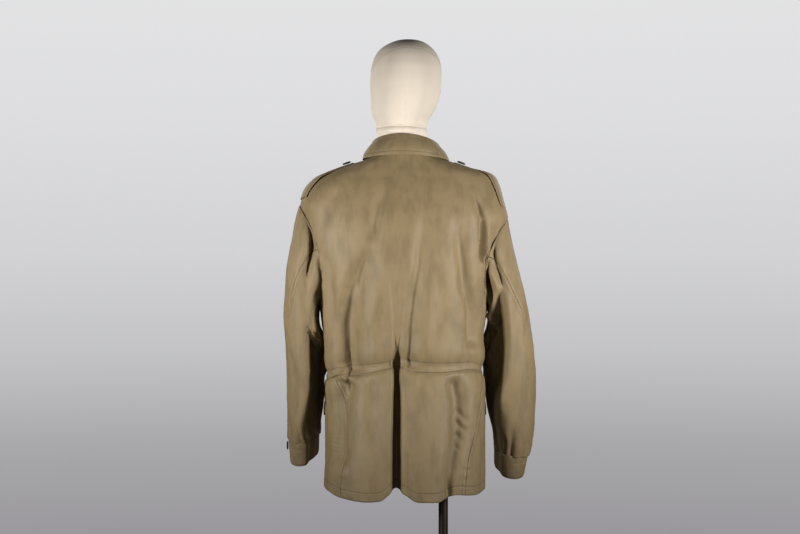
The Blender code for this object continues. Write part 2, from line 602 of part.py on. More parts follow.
def build_collar():
    angles = np.linspace(-171.0, 171.0, 33)
    foot, roll, lower = (ring_point(angles, ring) for ring in (STAND_FOOT, ROLL, LOWER))
    outward = np.stack([np.sin(np.radians(angles)), np.cos(np.radians(angles)), 0 * angles], axis=-1)
    up = np.array([0.0, 0.0, 1.0])
    stand_top = roll - outward * 0.0055 - up * 0.0035
    outer = np.stack([foot + (stand_top - foot) * s for s in (0.0, 0.5, 1.0)])
    wall("collar_stand", outer, outer - outward * 0.0018, "jacket_sateen")
    drop = lower - roll
    bulge = outward * 0.004
    outer = np.stack([
        roll - outward * 0.0040 - up * 0.0010,
        roll - outward * 0.0012 + up * 0.0022,
        roll + outward * 0.0020 + up * 0.0012,
        roll + drop * 0.30 + bulge,
        roll + drop * 0.65 + bulge,
        lower,
    ])
    inside = np.stack([
        -outward * 0.0008 - up * 0.0020, -outward * 0.0006 - up * 0.0022,
        -outward * 0.0018 - up * 0.0014, -outward * 0.0022, -outward * 0.0022, -outward * 0.0022,
    ])
    wall("collar_fall", outer, outer + inside, "jacket_sateen")


def shoulder_top(x, y, side):
    """Height of the shoulder's upper surface over a place in plan."""
    low = np.full_like(x, 1.38)
    high = np.full_like(x, 1.5495)
    for _ in range(40):
        z = (low + high) / 2
        a = half_width(side + 0 * x, z)
        b = np.where(y >= 0, curve(z, BODY, "z", "back"), curve(z, BODY, "z", "front"))
        inside = (np.abs(x) / a) ** SQUARENESS + (np.abs(y) / b) ** SQUARENESS < 1
        low, high = np.where(inside, z, low), np.where(inside, high, z)
    return (low + high) / 2


# Places along a strap from its button end (0) to the sleeve (1), and the middle it follows in Y.
Strap = namedtuple("Strap", "share half middle lift")
STRAP = (
    Strap(0.00, 0.0060, 0.004, 0.0034), Strap(0.05, 0.0130, 0.004, 0.0034),
    Strap(0.16, 0.0170, 0.005, 0.0034), Strap(0.34, 0.0190, 0.009, 0.0036),
    Strap(0.52, 0.0210, 0.013, 0.0042), Strap(0.68, 0.0230, 0.016, 0.0046),
    Strap(0.80, 0.0245, 0.018, 0.0046), Strap(0.90, 0.0255, 0.019, 0.0044),
    Strap(0.96, 0.0260, 0.019, 0.0042), Strap(1.00, 0.0260, 0.019, 0.0040),
)
STRAP_START = 0.112
STRAP_END = {1: 0.2288, -1: 0.2262}


def build_straps():
    for side, word in ((1, "left"), (-1, "right")):
        across = np.array([-1.0, -0.5, 0.0, 0.5, 1.0])
        y = column(STRAP, "half")[:, None] * across + column(STRAP, "middle")[:, None]
        end = STRAP_END[side] - 8.0 * y * y
        x = STRAP_START + (end - STRAP_START) * column(STRAP, "share")[:, None]
        lift = column(STRAP, "lift")[:, None] + 0.0018 * ease(across)[None, :]

        def top(px, py):
            return np.stack([side * px, py, shoulder_top(px, py, side)], axis=-1)

        along = top(x + 0.0006, y) - top(x - 0.0006, y)
        over = top(x, y + 0.0010) - top(x, y - 0.0010)
        normals = np.cross(along, over) * side
        normals /= np.linalg.norm(normals, axis=-1, keepdims=True)
        outer = top(x, y) + normals * lift[..., None]
        wall(f"strap_{word}", outer, outer - normals * BAND_WALL, "jacket_sateen")
        spot, away = outer[1, 2] * 0.4 + outer[2, 2] * 0.6, normals[2, 2]
        disc(f"button_strap_{word}", spot + away * 0.0016, away, 0.0080, 0.0032, "button_resin")


def build_flaps():
    """Hip pocket flaps: the front panel's own surface moved out, standing off at the lower edge."""
    for side, word in ((1, "left"), (-1, "right")):
        angles = side * np.linspace(101.0, 133.0, 9)[None, :] + np.zeros((4, 1))
        heights = np.array([[1.032], [1.012], [0.990], [0.965]]) + 0 * angles
        drop = np.array([[0.0], [0.3], [0.7], [1.0]])
        point_down = 0.010 * (1 - np.abs(np.linspace(-1, 1, 9)))[None, :]
        heights = heights - drop * point_down
        points, normals = with_normals(body_point, angles, heights, 0.05, 0.0005)
        outer = points + normals * (BAND_WALL + 0.0005 + 0.0025 * drop)[..., None]
        wall(f"flap_{word}", outer, outer - normals * BAND_WALL, "jacket_sateen")


def form_loop(row, sides=32, power=2.15):
    turn = 2 * np.pi * np.arange(sides) / sides
    sine, cosine = np.sin(turn), np.cos(turn)
    depth = np.where(cosine >= 0, row.back, row.front)
    return np.stack([row.x + row.half * signed_power(sine, 2 / power),
                     depth * signed_power(cosine, 2 / power), row.z + 0 * turn], axis=-1)


def build_form():
    rings("form_torso", [form_loop(row) for row in TORSO], "form_jersey")
    rings("form_head", [form_loop(row, power=2.0) for row in HEAD], "form_jersey")
    axis = (0.0, 0.0, 1.0)
    turn = 2 * np.pi * np.arange(32) / 32

    def ring(x, radius, z):
        return np.stack([x + radius * np.cos(turn), radius * np.sin(turn), z + 0 * turn], axis=-1)

    top = TORSO_FOOT_Z - 0.0004
    rings("pole_flange", [ring(POLE_X, r, z) for r, z in (
        (0.026, top - 0.008), (0.028, top - 0.006), (0.028, top))], "pole_steel")
    rings("pole", [ring(POLE_X, POLE_R, BASE_T + 0.0004), ring(POLE_X, POLE_R, top - 0.0084)],
          "pole_steel")
    rings("base", [ring(0.0, r, z) for r, z in (
        (BASE_R - 0.0010, 0.0), (BASE_R, 0.0010), (BASE_R, BASE_T - 0.0030),
        (BASE_R - 0.0008, BASE_T - 0.0011), (BASE_R - 0.0028, BASE_T))], "base_paint")


for leftover in list(bpy.data.objects):
    bpy.data.objects.remove(leftover, do_unlink=True)
build_body()
build_front_buttons()
build_waist_tape()
build_sleeves()
build_collar()
build_straps()
build_flaps()
build_form()
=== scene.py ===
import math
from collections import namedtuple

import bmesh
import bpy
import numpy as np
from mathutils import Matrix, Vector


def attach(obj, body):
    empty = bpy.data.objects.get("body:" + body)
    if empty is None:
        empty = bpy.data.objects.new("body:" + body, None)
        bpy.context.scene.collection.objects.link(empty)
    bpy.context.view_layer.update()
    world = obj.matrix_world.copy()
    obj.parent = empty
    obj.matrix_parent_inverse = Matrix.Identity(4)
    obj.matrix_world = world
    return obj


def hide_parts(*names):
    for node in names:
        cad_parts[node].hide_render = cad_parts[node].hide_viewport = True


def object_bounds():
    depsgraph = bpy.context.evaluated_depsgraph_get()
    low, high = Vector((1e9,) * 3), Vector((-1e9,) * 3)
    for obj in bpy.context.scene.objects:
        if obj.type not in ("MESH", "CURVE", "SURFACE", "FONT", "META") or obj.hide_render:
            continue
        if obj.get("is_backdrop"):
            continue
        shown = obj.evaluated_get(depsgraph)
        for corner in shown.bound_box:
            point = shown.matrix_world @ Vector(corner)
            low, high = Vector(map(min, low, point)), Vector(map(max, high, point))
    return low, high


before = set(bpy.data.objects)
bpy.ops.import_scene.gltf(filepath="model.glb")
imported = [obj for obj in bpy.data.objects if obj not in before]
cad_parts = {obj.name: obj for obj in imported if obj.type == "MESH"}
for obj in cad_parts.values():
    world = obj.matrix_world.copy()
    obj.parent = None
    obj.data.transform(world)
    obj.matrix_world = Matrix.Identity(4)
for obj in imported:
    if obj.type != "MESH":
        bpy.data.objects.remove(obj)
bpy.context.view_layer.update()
# %% [markdown]
# # A worn field jacket on a dress form
# A cotton sateen jacket hangs on a limbless form. Each panel is drawn as a mathematical surface
# (the body's oval sections, the sleeve's tube), then creases, gathers and seams are worked into
# it as small moves along its normal, in millimetres a sewer would recognise. The alternative is
# a cloth simulation of the whole coat; placing the folds one by one keeps this jacket's own folds.

# %% [markdown]
# ## Sizes
# The sections below are the jacket's real girths, in metres: half width to each side and half
# depth to the back and front at each height. Left is +X and the front faces -Y. A sleeve's rows
# run from the shoulder to the wrist: its outer and inner edges, half its depth, how far forward
# it sits, and the long hollow an empty sleeve folds into. Angles are in degrees.

# %% Tables of the jacket's form
CLOTH = 0.0013
DOUBLE = 0.0022
SQUARENESS = 2.3
UNDERARM_Z = 1.21
TIP_Z = {1: 1.434, -1: 1.405}
NECK_Z = 1.5315
FRONT_OVERLAP = 0.022
FRONT_LIFT = 0.003
WAIST_Z = 1.073
BODY_TOP = 1.5495

ARM = "x_out z_out x_in z_in depth mid_y ridge hollow tuck tilt"


def table(columns, *rows):
    """Rows with named columns."""
    kind = namedtuple("Row", columns)
    return tuple(kind(*row) for row in rows)


BODY = table(
    "z left right back front",
    (0.77, 0.177, 0.179, 0.132, 0.128), (0.86, 0.177, 0.18, 0.13, 0.126),
    (0.95, 0.176, 0.18, 0.125, 0.122), (1.02, 0.175, 0.179, 0.118, 0.116),
    (1.075, 0.174, 0.177, 0.11, 0.11), (1.14, 0.179, 0.177, 0.116, 0.114),
    (1.21, 0.187, 0.184, 0.123, 0.121), (1.3, 0.201, 0.198, 0.128, 0.127),
    (1.37, 0.217, 0.218, 0.124, 0.122), (1.405, 0.225, 0.2287, 0.118, 0.115),
    (1.434, 0.231, 0.2215, 0.109, 0.107), (1.452, 0.2264, 0.216, 0.102, 0.1),
    (1.466, 0.22, 0.212, 0.096, 0.094), (1.481, 0.207, 0.2065, 0.089, 0.088),
    (1.493, 0.192, 0.2, 0.083, 0.083), (1.503, 0.173, 0.184, 0.079, 0.08),
    (1.514, 0.147, 0.148, 0.074, 0.078), (1.524, 0.118, 0.12, 0.07, 0.076),
    (1.5315, 0.094, 0.098, 0.067, 0.075), (1.55, 0.062, 0.064, 0.062, 0.073))
SIDE_SEAM = table(
    "z left right",
    (0.77, 50.0, 43.0), (0.865, 46.0, 47.0), (0.92, 46.0, 54.0), (0.985, 50.0, 65.0),
    (1.07, 63.0, 77.0), (1.14, 79.0, 85.0), (1.21, 90.0, 90.0))
ARMHOLE = table(
    "t back front",
    (0.0, 90.0, 90.0), (0.04, 78.0, 76.0), (0.13, 69.5, 66.0), (0.3, 64.0, 60.0), (0.5, 62.0, 58.0),
    (0.68, 63.5, 60.0), (0.85, 70.0, 68.0), (0.94, 78.0, 77.0), (1.0, 90.0, 90.0))
HEM = table(
    "x z",
    (-0.182, 0.81), (-0.155, 0.803), (-0.112, 0.807), (-0.09, 0.8), (-0.072, 0.794), (-0.03, 0.795),
    (0.0, 0.811), (0.018, 0.822), (0.03, 0.813), (0.052, 0.797), (0.085, 0.794), (0.14, 0.8),
    (0.182, 0.815))
DEEP_FOLD = table(
    "z x half depth",
    (0.77, 0.0175, 0.0105, 0.03), (0.9, 0.0175, 0.009, 0.029), (1.0, 0.0165, 0.008, 0.027),
    (1.08, 0.0165, 0.007, 0.02), (1.12, 0.0155, 0.007, 0.009), (1.16, 0.015, 0.008, 0.004),
    (1.22, 0.0185, 0.009, 0.0026), (1.31, 0.0265, 0.009, 0.0))
# Where the channel's two stitch lines lie across the back and round to the fronts.
CHANNEL = table(
    "angle low high",
    (-180.0, 1.055, 1.075), (-100.0, 1.056, 1.074), (-78.0, 1.066, 1.079), (-50.0, 1.073, 1.089),
    (-22.0, 1.069, 1.089), (-6.0, 1.071, 1.093), (3.0, 1.082, 1.098), (8.0, 1.078, 1.093),
    (22.0, 1.069, 1.087), (48.0, 1.063, 1.081), (72.0, 1.052, 1.07), (100.0, 1.05, 1.07),
    (180.0, 1.055, 1.075))
# Here and below, 1 is the left side and -1 the right.
SLEEVE = {
    1: table(
        ARM,
        (0.231, 1.434, 0.187, 1.21, 0.07, 0.004, 93, 0.0, 0.0, 0.0),
        (0.246, 1.392, 0.1915, 1.205, 0.073, 0.003, 93, 0.0, 0.0, 0.0),
        (0.254, 1.345, 0.1905, 1.19, 0.075, 0.001, 94, 0.0, 0.0, 0.0),
        (0.2605, 1.3, 0.1885, 1.165, 0.075, -0.002, 95, 0.0, 0.0, 0.0),
        (0.2655, 1.245, 0.184, 1.135, 0.073, -0.006, 97, 0.004, 0.004, 0.02),
        (0.2672, 1.203, 0.1795, 1.105, 0.071, -0.01, 97, 0.05, 0.022, 0.05),
        (0.265, 1.16, 0.1775, 1.075, 0.069, -0.014, 96, 0.058, 0.032, 0.08),
        (0.262, 1.11, 0.1785, 1.045, 0.067, -0.019, 98, 0.06, 0.034, 0.11),
        (0.2605, 1.055, 0.18, 1.01, 0.065, -0.024, 96, 0.058, 0.034, 0.14),
        (0.2612, 1.005, 0.1815, 0.978, 0.062, -0.03, 90, 0.056, 0.03, 0.18),
        (0.2612, 0.965, 0.185, 0.952, 0.06, -0.036, 85, 0.05, 0.025, 0.22),
        (0.2612, 0.935, 0.188, 0.935, 0.057, -0.042, 91, 0.038, 0.016, 0.26),
        (0.2605, 0.9155, 0.189, 0.922, 0.0535, -0.047, 100, 0.02, 0.008, 0.3)),
    -1: table(
        ARM,
        (0.2287, 1.405, 0.184, 1.21, 0.068, 0.004, 90, 0.0, 0.0, 0.0),
        (0.2365, 1.362, 0.1885, 1.205, 0.072, 0.003, 89, 0.0, 0.0, 0.0),
        (0.245, 1.322, 0.188, 1.188, 0.074, 0.001, 88, 0.004, 0.002, 0.0),
        (0.256, 1.285, 0.1865, 1.16, 0.075, -0.002, 87, 0.036, 0.012, 0.01),
        (0.268, 1.24, 0.184, 1.13, 0.073, -0.006, 87, 0.054, 0.022, 0.02),
        (0.2775, 1.198, 0.18, 1.1, 0.071, -0.01, 87, 0.058, 0.03, 0.05),
        (0.2845, 1.15, 0.1785, 1.07, 0.069, -0.014, 91, 0.06, 0.034, 0.08),
        (0.2905, 1.105, 0.179, 1.04, 0.067, -0.019, 96, 0.06, 0.034, 0.11),
        (0.294, 1.055, 0.183, 1.005, 0.065, -0.024, 112, 0.058, 0.034, 0.14),
        (0.2952, 1.01, 0.189, 0.972, 0.062, -0.03, 126, 0.052, 0.03, 0.18),
        (0.2935, 0.962, 0.1965, 0.94, 0.06, -0.036, 132, 0.044, 0.022, 0.22),
        (0.29, 0.918, 0.2015, 0.912, 0.057, -0.042, 132, 0.032, 0.014, 0.25),
        (0.285, 0.8855, 0.2025, 0.89, 0.054, -0.047, 122, 0.018, 0.006, 0.28)),
}
CUFF = {
    1: table(
        ARM,
        (0.26, 0.9145, 0.19, 0.921, 0.053, -0.048, 100, 0.02, 0.008, 0.3),
        (0.258, 0.8665, 0.192, 0.878, 0.051, -0.058, 100, 0.014, 0.004, 0.38)),
    -1: table(
        ARM,
        (0.281, 0.8845, 0.2025, 0.889, 0.053, -0.048, 122, 0.018, 0.006, 0.28),
        (0.2725, 0.838, 0.2035, 0.848, 0.05, -0.058, 122, 0.012, 0.004, 0.38)),
}
RIDGE_WIDTH = 16.0
SLEEVE_SEAM = table(
    "v hind fore",
    (0.0, 86.0, 232.0), (0.2, 74.0, 236.0), (0.42, 44.0, 240.0), (0.58, 26.0, 242.0),
    (1.0, 20.0, 244.0))
print("body sections", len(BODY), "sleeve sections", len(SLEEVE[1]))

# %% [markdown]
# ## Curves, noise and creases
# `curve` runs a smooth line through a table's column and never overshoots it, so the cloth has
# no false lumps. `noise` is a seeded lattice, the same on every run. A crease is a soft trough
# (or a ridge, with a negative depth) along a short path, with a width of its own on each side,
# which is how cloth folds: one flank hangs and the other is pulled.

# %% Curves and noise
LATTICE = 64


def column(rows, name):
    return np.array([getattr(row, name) for row in rows], float)


def curve(x, rows, across, name):
    xs, ys = column(rows, across), column(rows, name)
    step = np.diff(xs)
    slope = np.diff(ys) / step
    tangent = np.zeros_like(ys)
    tangent[0], tangent[-1] = slope[0], slope[-1]
    w1, w2 = 2 * step[1:] + step[:-1], step[1:] + 2 * step[:-1]
    with np.errstate(divide="ignore", invalid="ignore"):
        mean = (w1 + w2) / (w1 / slope[:-1] + w2 / slope[1:])
    tangent[1:-1] = np.where(slope[:-1] * slope[1:] > 0, mean, 0.0)
    x = np.clip(np.asarray(x, float), xs[0], xs[-1])
    i = np.clip(np.searchsorted(xs, x, side="right") - 1, 0, len(step) - 1)
    t = (x - xs[i]) / step[i]
    return ((1 + 2 * t) * (1 - t) ** 2 * ys[i] + t * (1 - t) ** 2 * step[i] * tangent[i]
            + t * t * (3 - 2 * t) * ys[i + 1] + t * t * (t - 1) * step[i] * tangent[i + 1])


def ease(x):
    x = np.clip(x, 0.0, 1.0)
    return x * x * (3 - 2 * x)


def bump(x, half):
    return np.exp(-(x / half) ** 2)


def signed_power(value, power):
    return np.sign(value) * np.abs(value) ** power


def noise(u, v, seed):
    """Smooth seeded noise from -1 to 1, one feature to each unit."""
    knots = np.random.default_rng(seed).uniform(-1, 1, (LATTICE, LATTICE))
    iu, iv = np.floor(u).astype(int), np.floor(v).astype(int)
    fu, fv = ease(u - iu), ease(v - iv)
    u0, u1, v0, v1 = iu % LATTICE, (iu + 1) % LATTICE, iv % LATTICE, (iv + 1) % LATTICE
    a, b, c, d = knots[u0, v0], knots[u1, v0], knots[u0, v1], knots[u1, v1]
    return (a * (1 - fu) + b * fu) * (1 - fv) + (c * (1 - fu) + d * fu) * fv


def crease_field(u, v, creases):
    """How far a family of creases pushes the cloth in at (u, v), all in metres."""
    total = np.zeros(np.broadcast(u, v).shape)
    for crease in creases:
        path = np.array(crease.path, float) / 1000
        lengths = np.linalg.norm(np.diff(path, axis=0), axis=1)
        start = np.concatenate([[0.0], np.cumsum(lengths)])
        best = np.full(total.shape, 1e9)
        along, side = np.zeros(total.shape), np.zeros(total.shape)
        for i, length in enumerate(lengths):
            (au, av), (bu, bv) = path[i], path[i + 1]
            du, dv = (bu - au) / length, (bv - av) / length
            s = np.clip((u - au) * du + (v - av) * dv, 0, length)
            off_u, off_v = u - au - s * du, v - av - s * dv
            distance = np.hypot(off_u, off_v)
            nearer = distance < best
            best = np.where(nearer, distance, best)
            along = np.where(nearer, (start[i] + s) / start[-1], along)
            side = np.where(nearer, du * off_v - dv * off_u, side)
        width = np.where(side > 0, crease.half, crease.soft) / 1000
        head, foot = crease.fade
        ends = ease(along / head) if head else 1.0
        ends = ends * (ease((1 - along) / foot) if foot else 1.0)
        first, last = np.broadcast_to(crease.depth, 2) / 1000
        total += (first + (last - first) * along) * np.exp(-(best / width) ** 2) * ends
    return total


print("noise sample", round(float(noise(np.array(2.3), np.array(4.1), 7)), 3))

# %% [markdown]
# ## The body's surface
# The coat's body is one oval tube. Panels are patches of it, so their seams always meet. The
# deep fold runs down the middle of the back; soft folds fall from the shoulder blades. A
# crease's path, its width on each side and its depth (one figure, or one at each end) are in
# millimetres; `fade` is the share of its length over which each end dies away.

# %% Body surface, with its folds in table form
CREASE = "path half soft depth fade"
BACK_CREASES = table(
    CREASE,
    (((40, 1480), (56, 1425), (65, 1366), (72, 1335)),
     15, 11, (8, 13), (0.35, 0.35)),
    (((70, 1355), (90, 1305), (118, 1245), (130, 1175), (131, 1090)),
     13, 36, (15, 30), (0.25, 0.0)),
    (((82, 1330), (98, 1280), (100, 1220)), 6, 7, 3, (0.3, 0.4)),
    (((-40, 1440), (-38.5, 1370), (-32, 1300), (-19, 1235), (-11, 1175), (-6, 1100)),
     10, 22, (8, 19), (0.25, 0.0)),
    (((-106, 1415), (-118, 1370), (-126, 1300), (-134, 1250), (-147, 1200), (-150, 1110)),
     12, 16, (9, 17), (0.25, 0.1)),
    (((-140, 1468), (-160, 1430), (-170, 1395), (-174, 1350), (-174.5, 1300)),
     7, 6, (4, 26), (0.3, 0.15)),
    (((134, 1480), (160, 1425), (167, 1370)), 16, 10, 6, (0.4, 0.4)),
    (((154, 1340), (160, 1260), (156, 1160)), 10, 8, 4, (0.4, 0.3)),
    (((-70, 1330), (-76, 1230), (-70, 1120)), 16, 14, 3, (0.4, 0.3)),
    (((45, 1260), (50, 1180), (47, 1110)), 10, 10, 3, (0.5, 0.2)),
    (((16, 1420), (19, 1330), (24, 1260)), 10, 10, 2.5, (0.4, 0.2)),
    (((-103, 1066), (-117, 1010), (-115, 940), (-105, 880), (-96, 800)),
     16, 18, (18, 11), (0.1, 0.0)),
    (((124, 1058), (142, 1000), (144, 930), (142, 850)),
     26, 24, (26, 15), (0.1, 0.2)),
    (((-6, 1066), (-7, 960), (-6, 800)), 16, 12, 7, (0.12, 0.0)),
    (((-35, 1064), (-37, 985)), 6, 6, 3, (0.1, 0.7)),
    (((65, 1060), (68, 980), (60, 860)), 14, 16, 5, (0.1, 0.5)),
    (((-96, 850), (-101, 790)), 6, 7, 7, (0.5, 0.0)),
    (((-116, 992), (-142, 960)), 3.5, 5, 4.5, (0.25, 0.25)),
    (((-113, 968), (-140, 938)), 3.5, 5, 4.2, (0.25, 0.25)),
    (((-112, 940), (-133, 920)), 3.5, 5, 3.4, (0.25, 0.25)),
    (((-112, 912), (-128, 900)), 3, 4, 1.8, (0.3, 0.3)))
FRONT_CREASES = table(
    CREASE,
    (((140, 1400), (115, 1300), (90, 1200), (80, 1090)), 10, 18, (5, 8), (0.25, 0.0)),
    (((-142, 1380), (-118, 1290), (-95, 1190), (-85, 1090)),
     18, 10, (5, 8), (0.25, 0.0)),
    (((50, 1330), (56, 1230), (50, 1100)), 12, 12, 3, (0.5, 0.1)),
    (((-55, 1320), (-50, 1220), (-56, 1100)), 12, 12, 3, (0.5, 0.1)),
    (((95, 1045), (105, 960), (98, 810)), 16, 18, (8, 4), (0.1, 0.0)),
    (((-85, 1045), (-95, 950), (-90, 810)), 16, 18, (8, 4), (0.1, 0.0)),
    (((48, 1045), (52, 930)), 10, 10, 3, (0.1, 0.6)),
    (((-42, 1045), (-48, 930)), 10, 10, 3, (0.1, 0.6)))


def half_width(side, z):
    return np.where(side >= 0, curve(z, BODY, "z", "left"), curve(z, BODY, "z", "right"))


def body_point(angle, z):
    """Angle in degrees from centre back towards the left side."""
    sine, cosine = np.sin(np.radians(angle)), np.cos(np.radians(angle))
    is_back = cosine >= 0
    a = half_width(sine, z)
    b = np.where(is_back, curve(z, BODY, "z", "back"), curve(z, BODY, "z", "front"))
    x = a * signed_power(sine, 2 / SQUARENESS)
    y = b * signed_power(cosine, 2 / SQUARENESS)
    nx, ny = signed_power(x / a, SQUARENESS - 1) / a, signed_power(y / b, SQUARENESS - 1) / b
    length = np.hypot(nx, ny)
    half = curve(z, DEEP_FOLD, "z", "half")
    across = np.abs(x - curve(z, DEEP_FOLD, "z", "x")) / half
    mouth = 1 - ease((across - 0.7) / 0.75)
    depth = np.where(is_back, curve(z, DEEP_FOLD, "z", "depth") * mouth, 0.0)
    depth = depth + np.where(is_back, crease_field(x, z, BACK_CREASES),
                             crease_field(x, z, FRONT_CREASES))
    return np.stack([x - depth * nx / length, y - depth * ny / length, z + 0 * x], axis=-1)


def body_patch(angle, z):
    """Points of the body's surface and the way out of it at each."""
    along = body_point(angle + 0.05, z) - body_point(angle - 0.05, z)
    up = body_point(angle, z + 0.0005) - body_point(angle, z - 0.0005)
    normal = np.cross(up, along)
    length = np.linalg.norm(normal, axis=-1, keepdims=True)
    return body_point(angle, z), normal / np.maximum(length, 1e-12)


print("centre back at the waist", np.round(body_point(np.array(0.0), np.array(1.07)), 3))

# %% [markdown]
# ## Materials
# One recipe for every cloth: a base colour, faded in broad patches and darker in the weave's
# hollows and along the stitching, and two bumps, one for the weave and one for small creases.
# The pressed buttons use it too, for a mottled resin. Colours are given as the hex a painter
# would mix and turned into linear light once.

# %% Material tools
def linear(code):
    """The linear-light value of a hex colour."""
    out = []
    for i in (0, 2, 4):
        c = int(code[i:i + 2], 16) / 255
        out.append(c / 12.92 if c <= 0.04045 else ((c + 0.055) / 1.055) ** 2.4)
    return (*out, 1.0)


def add(tree, kind, inputs=None, **settings):
    node = tree.nodes.new(kind)
    for key, value in settings.items():
        setattr(node, key, value)
    for key, value in (inputs or {}).items():
        if isinstance(value, bpy.types.NodeSocket):
            tree.links.new(value, node.inputs[key])
        else:
            node.inputs[key].default_value = value
    return node


def mixed(tree, share, a, b):
    node = add(tree, "ShaderNodeMix", data_type="RGBA")
    for socket, value in ((node.inputs[0], share), (node.inputs[6], a), (node.inputs[7], b)):
        if isinstance(value, bpy.types.NodeSocket):
            tree.links.new(value, socket)
        else:
            socket.default_value = value
    return node.outputs[2]


def ramp(tree, factor, low, high):
    return add(tree, "ShaderNodeMapRange", {"Value": factor, "From Min": low, "From Max": high},
               interpolation_type="SMOOTHSTEP").outputs[0]


def new_material(name, note):
    found = bpy.data.materials.new(name)
    found.use_nodes = True
    found["made_of"] = note
    return found, found.node_tree, found.node_tree.nodes["Principled BSDF"]


def times(tree, a, b):
    return add(tree, "ShaderNodeMath", {0: a, 1: b}, operation="MULTIPLY").outputs[0]


def clouds(tree, place, scale, detail, rough=0.5):
    settings = {"Vector": place, "Scale": scale, "Detail": detail, "Roughness": rough}
    return add(tree, "ShaderNodeTexNoise", settings).outputs["Fac"]


def stretched(tree, along):
    """Places in the piece, drawn out along its height."""
    place = add(tree, "ShaderNodeTexCoord").outputs["Object"]
    return add(tree, "ShaderNodeMapping", {"Vector": place, "Scale": (1.0, 1.0, along)}).outputs[0]


def worn_cloth(name, note, colours, weave_mm, worn=1.0, rough=0.82, gloss=0.3):
    """A plain woven cloth: fading in patches, a fine weave and small creases."""
    found, tree, shader = new_material(name, note)
    base, faded, dark = (linear(code) for code in colours)
    place = add(tree, "ShaderNodeTexCoord").outputs["Object"]
    drawn = stretched(tree, 0.35)
    broad = clouds(tree, drawn, 6.0, 3.0)
    small = clouds(tree, drawn, 45.0, 4.0, 0.55)
    weave = clouds(tree, place, 1000.0 / weave_mm, 2.0)
    colour = mixed(tree, ramp(tree, broad, 0.35, 0.7), base, faded)
    colour = mixed(tree, times(tree, ramp(tree, small, 0.6, 0.3), 0.3 * worn), colour, dark)
    colour = mixed(tree, times(tree, weave, 0.22), colour, dark)
    thread = add(tree, "ShaderNodeAttribute", attribute_name="stitch").outputs["Fac"]
    colour = mixed(tree, times(tree, thread, 0.55), colour, dark)
    tree.links.new(colour, shader.inputs["Base Color"])
    creased = add(tree, "ShaderNodeBump", {"Height": small, "Strength": 0.1, "Distance": 0.001})
    woven = add(tree, "ShaderNodeBump", {"Height": weave, "Strength": 0.16, "Distance": 0.0003,
                                         "Normal": creased.outputs[0]})
    tree.links.new(woven.outputs[0], shader.inputs["Normal"])
    shader.inputs["Roughness"].default_value = rough
    shader.inputs["Specular IOR Level"].default_value = gloss
    return found


print("mid grey in linear light", round(linear("808080")[0], 3))

# %% Cloth, resin, jersey and metal
# Sateen floats its threads, so it is a little glossier than the jersey.
SATEEN = worn_cloth("cotton_sateen_khaki", "mercerised cotton sateen, washed and faded",
                    ("7D6F53", "827458", "4C412C"), 0.1, rough=0.62, gloss=0.42)
BUTTON = worn_cloth("pressed_resin_button", "pressed dark resin",
                    ("2E2A25", "3A352E", "15120F"), 2.0, 0.4, rough=0.42)
JERSEY = worn_cloth("stretched_jersey", "cream cotton jersey stretched on the form",
                    ("DAD3C9", "E1DBD2", "ACA395"), 1.2, 0.25)
THREAD = worn_cloth("sewing_thread", "olive polyester-cotton thread",
                    ("6A5C40", "75674A", "3C3322"), 0.5, 0.3)
METALS = {}
for name, note, tone, dull, metallic, rough in (
    ("darkened_steel_tube", "steel tube, browned by age", "5A5048", "3A322C", 0.9, 0.36),
    ("painted_steel_plate", "black satin paint on a steel plate", "1E1D1C", "2B2927", 0.0, 0.45),
):
    found, tree, shader = new_material(name, note)
    grain = clouds(tree, stretched(tree, 0.06), 220.0, 4.0)
    tree.links.new(mixed(tree, grain, linear(tone), linear(dull)), shader.inputs["Base Color"])
    span = {"Value": grain, "To Min": rough - 0.06, "To Max": rough + 0.14}
    rub = add(tree, "ShaderNodeMapRange", span).outputs[0]
    tree.links.new(rub, shader.inputs["Roughness"])
    shader.inputs["Metallic"].default_value = metallic
    METALS[name] = found
print("materials", [found.name for found in bpy.data.materials])

# %% [markdown]
# ## Making a sheet
# A sheet starts as a flat grid, like cloth on a table, and each crossing of its threads is
# carried to its place on the coat. Solidify then gives it the cloth's thickness inward, so the
# visible side stays where the surface put it. `stitch` marks the thread lines for the material.


def lengths_along(line):
    return np.concatenate([[0.0], np.cumsum(np.linalg.norm(np.diff(line, axis=0), axis=-1))])


def added(name, mesh, skin, node=None):
    """Puts a finished mesh in the scene as one piece of the object."""
    made = bpy.data.objects.new(name, mesh)
    bpy.context.scene.collection.objects.link(made)
    mesh.materials.append(skin)
    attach(made, "root")
    if node:
        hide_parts(node)
    return made


